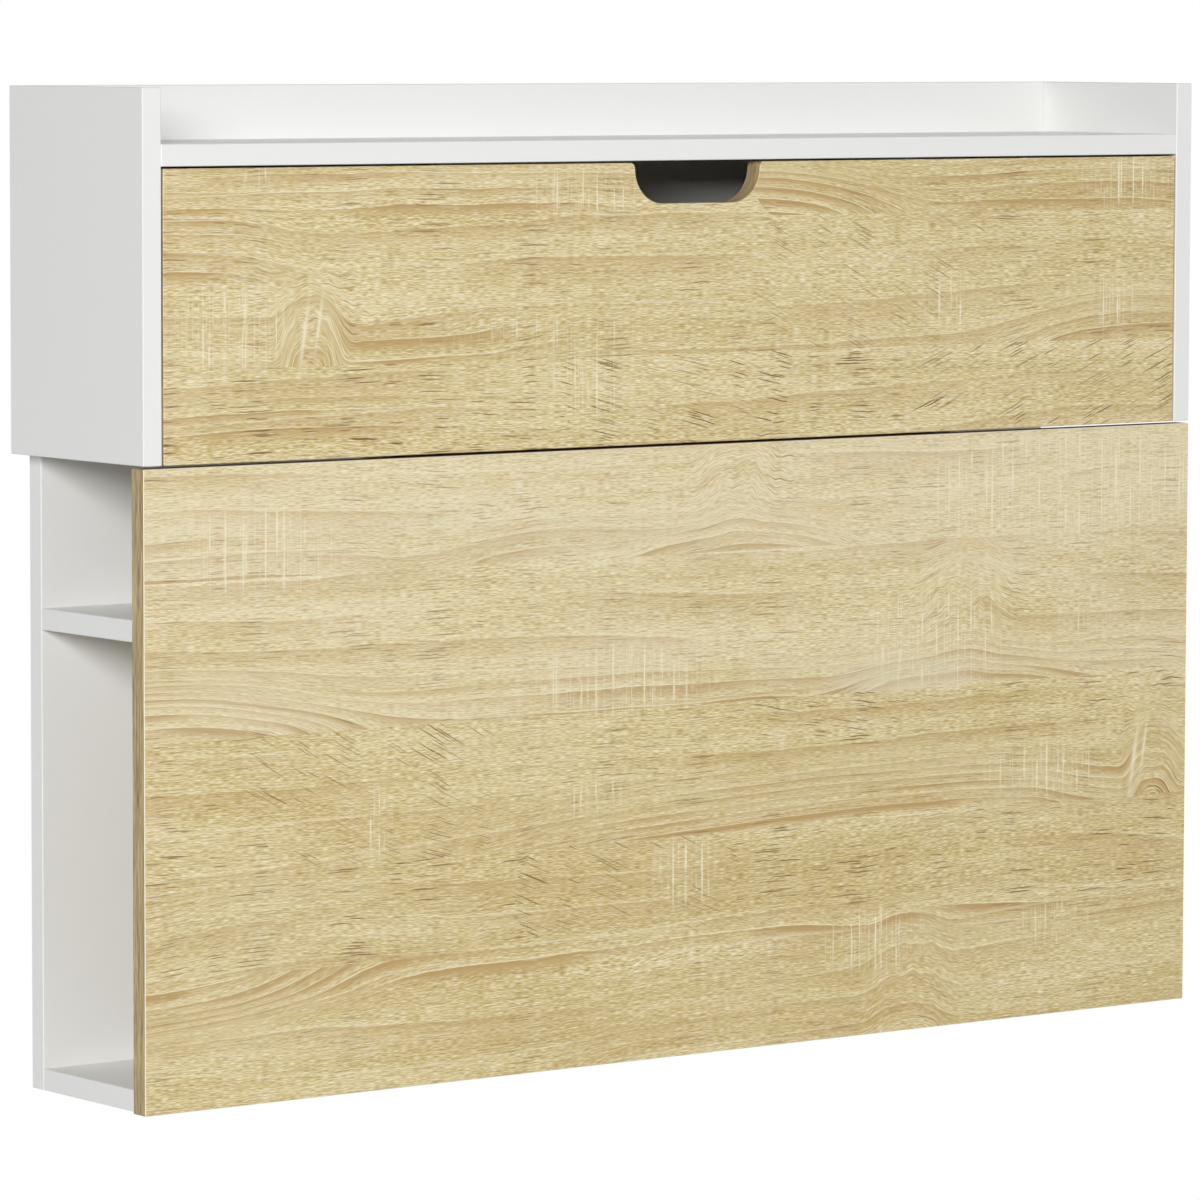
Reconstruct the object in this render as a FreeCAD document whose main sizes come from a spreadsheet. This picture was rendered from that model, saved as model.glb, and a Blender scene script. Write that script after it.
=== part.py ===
"""Fold-down wall desk: a wall cabinet with a drop flap over open shelves closed by a fold-down desk panel.

Frame: +X to the right, +Y into the wall, +Z up. The origin is the centre of the four wall fixing holes, on
the wall plane. Every piece is drawn where it stands with both leaves closed. Lengths are in millimetres.
"""
import FreeCAD, Part
import math
import os
import re

import Sketcher
from FreeCAD import Placement, Rotation, Vector

doc = FreeCAD.newDocument("FoldDownWallDesk")
sheet = doc.addObject("Spreadsheet::Sheet", "Sizes")

SIZES = (
    # the whole desk
    ("overall_width", 940, "over the two cabinet sides"),
    ("overall_depth", 168, "from the wall to the closed fronts"),
    ("overall_height", 698, "from the carcass underside to the gallery top"),
    ("board_thickness", 15, "white carcass boards"),
    ("front_thickness", 15, "oak flap and oak desk panel"),
    ("edge_break", 0.5, "chamfer on every board edge"),
    # cabinet and gallery
    ("cabinet_height", 254, "cabinet sides, from their lower ends to the gallery top"),
    ("gallery_rise", 38, "sides and back above the top board"),
    # shelves under the cabinet
    ("shelf_level", 322, "underside of the middle shelf"),
    ("divider_inset", 190, "open end bay, from the shelf end to the divider"),
    # wall fixing
    ("fixing_level", 340, "centre of the wall fixings above the carcass underside"),
    ("fixing_spread", 640, "between the fixing columns"),
    ("fixing_rise", 500, "between the fixing rows"),
    ("fixing_radius", 3, "fixing hole"),
    # flap
    ("flap_gap", 1.5, "gap round the flap"),
    ("flap_pivot_rise", 18, "pivot above the flap's lower edge"),
    ("flap_pin_radius", 2.5, "pivot pin"),
    ("flap_pin_sink", 10, "pin length held in the cabinet side"),
    ("flap_pin_reach", 12, "pin length inside the flap"),
    ("flap_bush_radius", 4, "pivot bush, outside"),
    ("flap_bush_length", 14, "pivot bush"),
    ("grip_half_width", 56, "half the finger cut-out, between its sides"),
    ("grip_depth", 29, "finger cut-out below the flap's upper edge"),
    ("grip_lip_radius", 4, "rounded lips of the finger cut-out"),
    # desk panel
    ("panel_foot", 3, "panel's lower edge above the carcass underside"),
    ("panel_head_gap", 2, "panel's upper edge below the cabinet sides"),
    ("panel_heel_gap", 1, "between the open panel's heel and the bottom board"),
    # desk hinges
    ("hinge_divider_gap", 19, "from a divider's outer face to the outer hinge beside it"),
    ("hinge_length", 72, "along the hinge line"),
    ("hinge_leaf_reach", 30, "leaf on the board it is screwed to"),
    ("leaf_thickness", 2, "hinge leaf"),
    ("knuckle_radius", 3.3, "hinge knuckle"),
    ("knuckle_gap", 0.4, "between neighbouring knuckles"),
    ("knuckle_clearance", 0.3, "between a knuckle and the board face beside it"),
    ("leaf_clearance", 0.3, "between the open panel and the fixed leaf"),
    ("hinge_pin_radius", 1.5, "hinge pin"),
    ("running_clearance", 0.05, "radial clearance of every pin that turns"),
    # stays: two for the desk panel and two for the flap
    ("guide_standoff", 4, "guide plate off the board that carries it"),
    ("guide_thickness", 2, "guide plate"),
    ("guide_margin", 7, "plate beside its slot"),
    ("guide_clip", 6, "clipped corners of the guide plate"),
    ("guide_tail", 15, "plate past each end of the pin's path, over its spacer"),
    ("slot_clearance", 0.3, "guide pin in its slot, each side"),
    ("stay_gap", 0.5, "between plate, arm and bracket"),
    ("arm_thickness", 2.5, "stay arm"),
    ("arm_half_width", 6.5, "stay arm"),
    ("ear_thickness", 2.5, "bracket ear"),
    ("ear_radius", 7.5, "rounded end of the bracket ear"),
    ("foot_thickness", 2, "bracket foot"),
    ("foot_width", 24, "bracket foot, across the desk"),
    ("foot_rise", 19, "bracket foot above and below its pivot"),
    ("guide_pin_radius", 3, "pin that runs in the slot"),
    ("pin_head_radius", 5, "heads of guide pins and rivets"),
    ("pin_head_thickness", 1.4, "heads of guide pins and rivets"),
    ("rivet_radius", 2.5, "pivot rivet between arm and bracket"),
    ("spacer_size", 11, "square spacer block under each end of the guide plate"),
    ("desk_stay_reach", 12, "arm pivot behind the closed panel's inner face"),
    ("desk_stay_headroom", 26, "guide pin below the middle shelf with the panel closed"),
    ("desk_stay_setback", 37, "guide pin behind the closed panel's inner face with the panel open"),
    ("desk_arm_closed", 22, "arm angle back from upright with the panel closed, degrees"),
    ("desk_arm_open", 64, "arm angle back from upright with the panel open, degrees"),
    ("flap_stay_reach", 9, "arm pivot behind the closed flap's inner face"),
    ("flap_stay_headroom", 29.5, "guide pin below the top board with the flap closed"),
    ("flap_stay_setback", 19, "guide pin behind the closed flap's inner face with the flap open"),
    ("flap_arm_closed", 24, "arm angle back from upright with the flap closed, degrees"),
    ("flap_arm_open", 62, "arm angle back from upright with the flap open, degrees"),
    # magnetic catches
    ("catch_length", 44, "catch housing, front to back"),
    ("catch_height", 13, "catch housing"),
    ("catch_width", 12, "catch housing, off the board that carries it"),
    ("magnet_size", 8, "square magnet block in the catch mouth"),
    ("magnet_depth", 10, "magnet block, front to back"),
    ("strike_thickness", 1.2, "steel strike plate"),
    ("strike_size", 9, "strike plate, each way"),
    ("catch_gap", 0.3, "between the magnet and its strike plate"),
    ("desk_catch_drop", 16, "desk catch centre below the panel's upper edge"),
    ("flap_catch_offset", 210, "flap catch from the middle of the desk"),
)
for row, (name, number, note) in enumerate(SIZES, 1):
    sheet.set(f"A{row}", name)
    sheet.set(f"B{row}", str(number))
    sheet.set(f"C{row}", note)
    sheet.setAlias(f"B{row}", name)
doc.recompute()

SIZE_NAME = re.compile(r"\b[a-z]+(?:_[a-z]+)+\b")
BIG = 2000   # longer than the desk, for cuts that go right through
nodes = []   # the finished pieces, one per file


# ---------------------------------------------------------------- expressions and drawing helpers
def value(text):
    """Work an expression on the size names out as a number."""
    return float(sheet.evalExpression(str(text)))


def bind(target, path, text):
    """Bind a property to an expression on the size names."""
    target.setExpression(path, SIZE_NAME.sub(r"Sizes.\g<0>", str(text)))


def place(target, x="0", y="0", z="0"):
    """Bind an object's position to three expressions."""
    for axis, text in zip("xyz", (x, y, z)):
        bind(target, f".Placement.Base.{axis}", text)


def finish(target, label):
    """Name a finished piece and keep it for its file."""
    target.Label = label
    nodes.append(target)
    return target


def new_body(name):
    return doc.addObject("PartDesign::Body", name)


# each drawing plane: its role, the sign of its normal along the axis it is square to
PLANES = {"x": ("YZ_Plane", 1), "y": ("XZ_Plane", -1), "z": ("XY_Plane", 1)}


def new_sketch(body, axis, level="0"):
    """Start a sketch square to an axis, at a level along it, on the body's own origin plane."""
    role, sign = PLANES[axis]
    sketch = body.newObject("Sketcher::SketchObject", f"{body.Name}_sketch")
    plane = next(feature for feature in body.Origin.OriginFeatures if feature.Role == role)
    sketch.AttachmentSupport = [(plane, "")]
    sketch.MapMode = "FlatFace"
    bind(sketch, "AttachmentOffset.Base.z", f"{sign} * ({level})")
    return sketch


def dimension(sketch, kind, *where_and_text):
    """Add a driving dimension whose value is an expression."""
    *where, text = where_and_text
    index = sketch.addConstraint(Sketcher.Constraint(kind, *where, value(text)))
    bind(sketch, f"Constraints[{index}]", text)


def pin_point(sketch, geometry, point, place_uv):
    """Fix a point of the sketch at two expressions, measured from the sketch's origin."""
    dimension(sketch, "DistanceX", -1, 1, geometry, point, place_uv[0])
    dimension(sketch, "DistanceY", -1, 1, geometry, point, place_uv[1])


def add_polygon(sketch, corners):
    """Draw a closed outline of straight lines through corners given as pairs of expressions."""
    points = [Vector(value(u), value(v), 0) for u, v in corners]
    count = len(points)
    lines = [sketch.addGeometry(Part.LineSegment(points[i], points[(i + 1) % count])) for i in range(count)]
    for i in range(count):
        sketch.addConstraint(Sketcher.Constraint("Coincident", lines[i], 2, lines[(i + 1) % count], 1))
        pin_point(sketch, lines[i], 1, corners[i])


def add_rectangle(sketch, low, high):
    add_polygon(sketch, ((low[0], low[1]), (high[0], low[1]), (high[0], high[1]), (low[0], high[1])))


def add_circle(sketch, centre, radius):
    middle = Vector(value(centre[0]), value(centre[1]), 0)
    circle = sketch.addGeometry(Part.Circle(middle, Vector(0, 0, 1), value(radius)))
    pin_point(sketch, circle, 3, centre)
    dimension(sketch, "Radius", circle, radius)


def add_link_outline(sketch, start, end, radius):
    """Draw a bar with round ends between two centres."""
    a = Vector(value(start[0]), value(start[1]), 0)
    b = Vector(value(end[0]), value(end[1]), 0)
    r = value(radius)
    heading = math.atan2(b.y - a.y, b.x - a.x)
    side = Vector(-math.sin(heading), math.cos(heading), 0) * r
    normal = Vector(0, 0, 1)
    quarter = math.pi / 2
    cap_a = sketch.addGeometry(Part.ArcOfCircle(
        Part.Circle(a, normal, r), heading + quarter, heading + 3 * quarter))
    lower = sketch.addGeometry(Part.LineSegment(a - side, b - side))
    cap_b = sketch.addGeometry(Part.ArcOfCircle(
        Part.Circle(b, normal, r), heading - quarter, heading + quarter))
    upper = sketch.addGeometry(Part.LineSegment(b + side, a + side))
    for first, second in ((cap_a, lower), (lower, cap_b), (cap_b, upper), (upper, cap_a)):
        sketch.addConstraint(Sketcher.Constraint("Tangent", first, 2, second, 1))
    sketch.addConstraint(Sketcher.Constraint("Equal", cap_a, cap_b))
    pin_point(sketch, cap_a, 3, start)
    pin_point(sketch, cap_b, 3, end)
    dimension(sketch, "Radius", cap_a, radius)


def add_ear_outline(sketch, root, end, radius):
    """Draw an ear that stands square on a line, at root along the first axis, and ends round at a centre."""
    u, v, r, foot = value(end[0]), value(end[1]), value(radius), value(root)
    cap = sketch.addGeometry(Part.ArcOfCircle(
        Part.Circle(Vector(u, v, 0), Vector(0, 0, 1), r), -math.pi / 2, math.pi / 2))
    upper = sketch.addGeometry(Part.LineSegment(Vector(u, v + r, 0), Vector(foot, v + r, 0)))
    back = sketch.addGeometry(Part.LineSegment(Vector(foot, v + r, 0), Vector(foot, v - r, 0)))
    lower = sketch.addGeometry(Part.LineSegment(Vector(foot, v - r, 0), Vector(u, v - r, 0)))
    for kind, first, second in (("Tangent", cap, upper), ("Coincident", upper, back),
                                ("Coincident", back, lower), ("Tangent", lower, cap)):
        sketch.addConstraint(Sketcher.Constraint(kind, first, 2, second, 1))
    sketch.addConstraint(Sketcher.Constraint("Vertical", back))
    pin_point(sketch, cap, 3, end)
    dimension(sketch, "Radius", cap, radius)
    dimension(sketch, "DistanceX", -1, 1, back, 1, root)


def pad(body, sketch, length):
    """Raise a sketch along its normal."""
    feature = body.newObject("PartDesign::Pad", f"{body.Name}_pad")
    feature.Profile = sketch
    bind(feature, "Length", length)
    return feature


def cut(body, sketch, depth, along_normal):
    """Cut a sketch into the body, along the sketch's normal or against it."""
    feature = body.newObject("PartDesign::Pocket", f"{body.Name}_pocket")
    feature.Profile = sketch
    bind(feature, "Length", depth)
    feature.Reversed = along_normal
    return feature


def break_edges(body, feature, size="edge_break"):
    """Chamfer every edge of a body's feature."""
    chamfer = body.newObject("PartDesign::Chamfer", f"{body.Name}_chamfer")
    chamfer.Base = (feature, ["Edge1"])
    chamfer.UseAllEdges = True
    bind(chamfer, "Size", size)
    return chamfer


def drill(body, axis, start, direction, centres, radius, depth):
    """Drill round holes along an axis, from a start level, in the + or - direction."""
    sketch = new_sketch(body, axis, start)
    for centre in centres:
        add_circle(sketch, centre, radius)
    sign = PLANES[axis][1]
    return cut(body, sketch, depth, along_normal=direction * sign > 0)


def make_board(name, x, y, z, shape_outline=None):
    """Make a board with broken edges from its low and high limits along the three axes.

    shape_outline cuts the body's outline before the edges are broken, and gives the feature it ends with.
    """
    body = new_body(name)
    sketch = new_sketch(body, "z", z[0])
    add_rectangle(sketch, (x[0], y[0]), (x[1], y[1]))
    feature = pad(body, sketch, f"({z[1]}) - ({z[0]})")
    if shape_outline:
        feature = shape_outline(body)
    break_edges(body, feature)
    return body


def turned(name, profile):
    """Turn a piece about its own +Z axis from a half profile of (radius, height) expressions."""
    body = new_body(name)
    sketch = new_sketch(body, "y")
    add_polygon(sketch, profile)
    feature = body.newObject("PartDesign::Revolution", f"{name}_revolution")
    feature.Profile = sketch
    feature.ReferenceAxis = (sketch, ["V_Axis"])
    return body


# the turn that points a piece drawn along +Z the way it goes
POINTING = {"+x": Rotation(Vector(0, 1, 0), 90), "-x": Rotation(Vector(0, 1, 0), -90), "+z": Rotation()}


def copies(label, master, pointing, positions):
    """Group copies of one piece, as separate solids, at positions given as expressions."""
    links = []
    for x, y, z in positions:
        link = doc.addObject("App::Link", f"{label}_copy")
        link.LinkedObject = master
        link.Placement = Placement(Vector(), POINTING[pointing])
        place(link, x, y, z)
        links.append(link)
    group = doc.addObject("Part::Compound", f"{label}_group")
    group.Links = links
    return group


def mirrored(source):
    """Mirror a piece across the middle of the desk."""
    twin = doc.addObject("Part::Mirroring", f"{source.Name}_twin")
    twin.Source = source
    twin.Normal = Vector(1, 0, 0)
    return twin


def both_sides(label, source):
    """Group a left-hand piece, or group, with its mirror image."""
    pair = doc.addObject("Part::Compound", f"{label}_pair")
    pair.Links = [source, mirrored(source)]
    return finish(pair, label)


# ---------------------------------------------------------------- levels and planes shared by the pieces
UNDERSIDE = "(-fixing_level)"
SIDE_END = "(overall_width / 2)"
CARCASS_END = f"({SIDE_END} - board_thickness)"
FRONT = "(-overall_depth)"
FRONT_INNER = f"({FRONT} + front_thickness)"
BACK_FACE = "(-board_thickness)"
TOP = f"({UNDERSIDE} + overall_height)"
CABINET_BASE = f"({TOP} - cabinet_height)"
TOP_BOARD_TOP = f"({TOP} - gallery_rise)"
TOP_BOARD_UNDER = f"({TOP_BOARD_TOP} - board_thickness)"
SHELF_UNDER = f"({UNDERSIDE} + shelf_level)"
SHELF_TOP = f"({SHELF_UNDER} + board_thickness)"
BOTTOM_TOP = f"({UNDERSIDE} + board_thickness)"
DIVIDER_OUTER = f"({CARCASS_END} - divider_inset)"
DIVIDER_INNER = f"({DIVIDER_OUTER} - board_thickness)"

# flap: it turns on pins at the middle of its thickness, and lies flush with the cabinet floor when open
FLAP_END = f"({CARCASS_END} - flap_gap)"
FLAP_TOP = f"({TOP_BOARD_UNDER} - flap_gap)"
FLAP_PIVOT_Y = f"({FRONT} + front_thickness / 2)"
FLAP_PIVOT_Z = f"({CABINET_BASE} + flap_pivot_rise)"
FLOOR_TOP = f"({FLAP_PIVOT_Z} + front_thickness / 2)"
FLOOR_UNDER = f"({FLOOR_TOP} - board_thickness)"
FLOOR_FRONT = f"({FLAP_PIVOT_Y} + flap_pivot_rise + flap_gap)"

# desk panel: it turns about knuckles that lie on the bottom board and on the panel's inner face
PANEL_FOOT = f"({UNDERSIDE} + panel_foot)"
PANEL_HEAD = f"({CABINET_BASE} - panel_head_gap)"
DESK_PIVOT_Z = f"({BOTTOM_TOP} + knuckle_radius + knuckle_clearance)"
DESK_PIVOT_Y = f"({FRONT_INNER} + knuckle_radius + knuckle_clearance + leaf_clearance)"
CARCASS_FRONT = f"({DESK_PIVOT_Y} + ({DESK_PIVOT_Z} - {PANEL_FOOT}) + panel_heel_gap)"

# ---------------------------------------------------------------- white boards
FIXINGS = [(f"{sx} * fixing_spread / 2", f"{sz} * fixing_rise / 2") for sx in (-1, 1) for sz in (-1, 1)]

back_board = make_board("back_board", (f"-{CARCASS_END}", CARCASS_END), (BACK_FACE, "0"), (UNDERSIDE, TOP))
drill(back_board, "y", "0", -1, FIXINGS, "fixing_radius", BIG)
finish(back_board, "back_board")

top_board = make_board("top_board", (f"-{CARCASS_END}", CARCASS_END), (FRONT, BACK_FACE),
                       (TOP_BOARD_UNDER, TOP_BOARD_TOP))
finish(top_board, "top_board")

cabinet_floor = make_board("cabinet_floor", (f"-{CARCASS_END}", CARCASS_END), (FLOOR_FRONT, BACK_FACE),
                           (FLOOR_UNDER, FLOOR_TOP))
finish(cabinet_floor, "cabinet_floor")

side_panel = make_board("side_panel_left", (f"-{SIDE_END}", f"-{CARCASS_END}"), (FRONT, "0"),
                        (CABINET_BASE, TOP))
drill(side_panel, "x", f"-{CARCASS_END}", -1, [(FLAP_PIVOT_Y, FLAP_PIVOT_Z)], "flap_pin_radius",
      "flap_pin_sink")
finish(side_panel, "side_panel_left")
finish(mirrored(side_panel), "side_panel_right")

divider = make_board("divider_left", (f"-{DIVIDER_OUTER}", f"-{DIVIDER_INNER}"), (CARCASS_FRONT, BACK_FACE),
                     (BOTTOM_TOP, FLOOR_UNDER))
finish(divider, "divider_left")
finish(mirrored(divider), "divider_right")

shelf = make_board("shelf_left", (f"-{CARCASS_END}", f"-{DIVIDER_OUTER}"), (CARCASS_FRONT, BACK_FACE),
                   (SHELF_UNDER, SHELF_TOP))
finish(shelf, "shelf_left")
finish(mirrored(shelf), "shelf_right")

shelf_centre = make_board("shelf_centre", (f"-{DIVIDER_INNER}", DIVIDER_INNER), (CARCASS_FRONT, BACK_FACE),
                          (SHELF_UNDER, SHELF_TOP))
finish(shelf_centre, "shelf_centre")

# ---------------------------------------------------------------- desk hinges
OUTER_HINGE = f"({DIVIDER_OUTER} + hinge_divider_gap + hinge_length / 2)"
HINGE_XS = (f"-{OUTER_HINGE}", "0", OUTER_HINGE)
HINGE_THIRD = "(hinge_length / 6)"
LEAF_START = "(knuckle_radius + knuckle_gap)"
FIXED_LEAF_END = f"({CARCASS_FRONT} + hinge_leaf_reach)"
MOVING_LEAF_END = f"({DESK_PIVOT_Z} + {LEAF_START} + hinge_leaf_reach)"
DESK_PIVOT = (DESK_PIVOT_Y, DESK_PIVOT_Z)


def add_knuckle(body, low, high, bore):
    """Add a knuckle on the hinge line between two levels along it, and bore the leaf for its pin."""
    sketch = new_sketch(body, "x", low)
    add_circle(sketch, DESK_PIVOT, "knuckle_radius")
    pad(body, sketch, f"({high}) - ({low})")
    drill(body, "x", low, 1, [DESK_PIVOT], bore, f"({high}) - ({low})")


fixed_leaf = new_body("fixed_leaf")
leaf_sketch = new_sketch(fixed_leaf, "z", BOTTOM_TOP)
notch = f"({HINGE_THIRD} + knuckle_gap / 2)"
leaf_back = f"({DESK_PIVOT_Y} + {LEAF_START})"
add_polygon(leaf_sketch, (
    ("-hinge_length / 2", DESK_PIVOT_Y), (f"-{notch}", DESK_PIVOT_Y), (f"-{notch}", leaf_back),
    (notch, leaf_back), (notch, DESK_PIVOT_Y), ("hinge_length / 2", DESK_PIVOT_Y),
    ("hinge_length / 2", FIXED_LEAF_END), ("-hinge_length / 2", FIXED_LEAF_END)))
pad(fixed_leaf, leaf_sketch, "leaf_thickness")
add_knuckle(fixed_leaf, "-hinge_length / 2", f"-{notch}", "hinge_pin_radius")
add_knuckle(fixed_leaf, notch, "hinge_length / 2", "hinge_pin_radius")
finish(copies("desk_hinge_fixed_leaves", fixed_leaf, "+z", [(x, "0", "0") for x in HINGE_XS]),
       "desk_hinge_fixed_leaves")

moving_leaf = new_body("moving_leaf")
leaf_sketch = new_sketch(moving_leaf, "y", f"{FRONT_INNER} + leaf_thickness")
tongue = f"({HINGE_THIRD} - knuckle_gap / 2)"
leaf_foot = f"({DESK_PIVOT_Z} + {LEAF_START})"
add_polygon(leaf_sketch, (
    ("-hinge_length / 2", leaf_foot), (f"-{tongue}", leaf_foot), (f"-{tongue}", DESK_PIVOT_Z),
    (tongue, DESK_PIVOT_Z), (tongue, leaf_foot), ("hinge_length / 2", leaf_foot),
    ("hinge_length / 2", MOVING_LEAF_END), ("-hinge_length / 2", MOVING_LEAF_END)))
pad(moving_leaf, leaf_sketch, "leaf_thickness")
add_knuckle(moving_leaf, f"-{tongue}", tongue, "hinge_pin_radius + running_clearance")
finish(copies("desk_hinge_moving_leaves", moving_leaf, "+z", [(x, "0", "0") for x in HINGE_XS]),
       "desk_hinge_moving_leaves")

hinge_pin = doc.addObject("Part::Cylinder", "hinge_pin")
bind(hinge_pin, "Radius", "hinge_pin_radius")
bind(hinge_pin, "Height", "hinge_length")
pin_places = [(f"{x} - hinge_length / 2", DESK_PIVOT_Y, DESK_PIVOT_Z) for x in HINGE_XS]
finish(copies("desk_hinge_pins", hinge_pin, "+x", pin_places), "desk_hinge_pins")

bottom_board = make_board("bottom_board", (f"-{CARCASS_END}", CARCASS_END), (CARCASS_FRONT, BACK_FACE),
                          (UNDERSIDE, BOTTOM_TOP))
finish(bottom_board, "bottom_board")

# ---------------------------------------------------------------- desk panel
desk_panel = make_board("desk_panel", (f"-{SIDE_END}", SIDE_END), (FRONT, FRONT_INNER),
                        (PANEL_FOOT, PANEL_HEAD))
finish(desk_panel, "desk_panel")

# ---------------------------------------------------------------- flap with its finger cut-out
GRIP_RADIUS = "(grip_depth - grip_lip_radius)"
GRIP_FLAT = f"(grip_half_width - {GRIP_RADIUS})"


def add_grip_outline(sketch):
    """Draw the finger cut-out: a flat floor, two quarter-round corners and two rounded lips."""
    top = value(FLAP_TOP)
    lip = value(f"{FLAP_TOP} - grip_lip_radius")
    floor = value(f"{FLAP_TOP} - grip_depth")
    side, lip_r, corner_r = value("grip_half_width"), value("grip_lip_radius"), value(GRIP_RADIUS)
    flat = side - corner_r
    normal = Vector(0, 0, 1)
    right, half = math.pi / 2, math.pi

    def arc(u, v, radius, start, end):
        return sketch.addGeometry(Part.ArcOfCircle(Part.Circle(Vector(u, v, 0), normal, radius), start, end))

    rim = sketch.addGeometry(Part.LineSegment(Vector(side + lip_r, top, 0), Vector(-side - lip_r, top, 0)))
    lip_left = arc(-side - lip_r, lip, lip_r, 0, right)
    corner_left = arc(-flat, lip, corner_r, half, 3 * right)
    base = sketch.addGeometry(Part.LineSegment(Vector(-flat, floor, 0), Vector(flat, floor, 0)))
    corner_right = arc(flat, lip, corner_r, 3 * right, 4 * right)
    lip_right = arc(side + lip_r, lip, lip_r, right, half)
    joined = (("Coincident", rim, 2, lip_left, 2), ("Tangent", lip_left, 1, corner_left, 1),
              ("Coincident", corner_left, 2, base, 1), ("Coincident", base, 2, corner_right, 1),
              ("Tangent", corner_right, 2, lip_right, 2), ("Coincident", lip_right, 1, rim, 1))
    for joint in joined:
        sketch.addConstraint(Sketcher.Constraint(*joint))
    pin_point(sketch, corner_left, 3, (f"-{GRIP_FLAT}", f"{FLAP_TOP} - grip_lip_radius"))
    pin_point(sketch, corner_right, 3, (GRIP_FLAT, f"{FLAP_TOP} - grip_lip_radius"))
    dimension(sketch, "DistanceX", -1, 1, lip_left, 3, "-grip_half_width - grip_lip_radius")
    dimension(sketch, "DistanceX", -1, 1, lip_right, 3, "grip_half_width + grip_lip_radius")
    pin_point(sketch, base, 1, (f"-{GRIP_FLAT}", f"{FLAP_TOP} - grip_depth"))
    pin_point(sketch, base, 2, (GRIP_FLAT, f"{FLAP_TOP} - grip_depth"))
    pin_point(sketch, rim, 1, ("grip_half_width + grip_lip_radius", FLAP_TOP))
    pin_point(sketch, rim, 2, ("-grip_half_width - grip_lip_radius", FLAP_TOP))


def cut_grip(body):
    sketch = new_sketch(body, "y", FRONT)
    add_grip_outline(sketch)
    return cut(body, sketch, BIG, along_normal=False)


flap = make_board("flap_door", (f"-{FLAP_END}", FLAP_END), (FRONT, FRONT_INNER), (CABINET_BASE, FLAP_TOP),
                  shape_outline=cut_grip)
for side in (-1, 1):
    drill(flap, "x", f"{side} * {FLAP_END}", -side, [(FLAP_PIVOT_Y, FLAP_PIVOT_Z)], "flap_bush_radius",
          "flap_bush_length")
finish(flap, "flap_door")

bush_bore = "flap_pin_radius + running_clearance"
bush = turned("flap_bush", (
    (bush_bore, "0"), ("flap_bush_radius", "0"), ("flap_bush_radius", "flap_bush_length"),
    (bush_bore, "flap_bush_length")))
both_sides("flap_pivot_bushes", copies(
    "flap_bush_left", bush, "+x", [(f"-{FLAP_END}", FLAP_PIVOT_Y, FLAP_PIVOT_Z)]))
pivot_pin = doc.addObject("Part::Cylinder", "flap_pin")
bind(pivot_pin, "Radius", "flap_pin_radius")
bind(pivot_pin, "Height", "flap_pin_sink + flap_gap + flap_pin_reach")
both_sides("flap_pivot_pins", copies(
    "flap_pin_left", pivot_pin, "+x", [(f"-{CARCASS_END} - flap_pin_sink", FLAP_PIVOT_Y, FLAP_PIVOT_Z)]))


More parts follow.
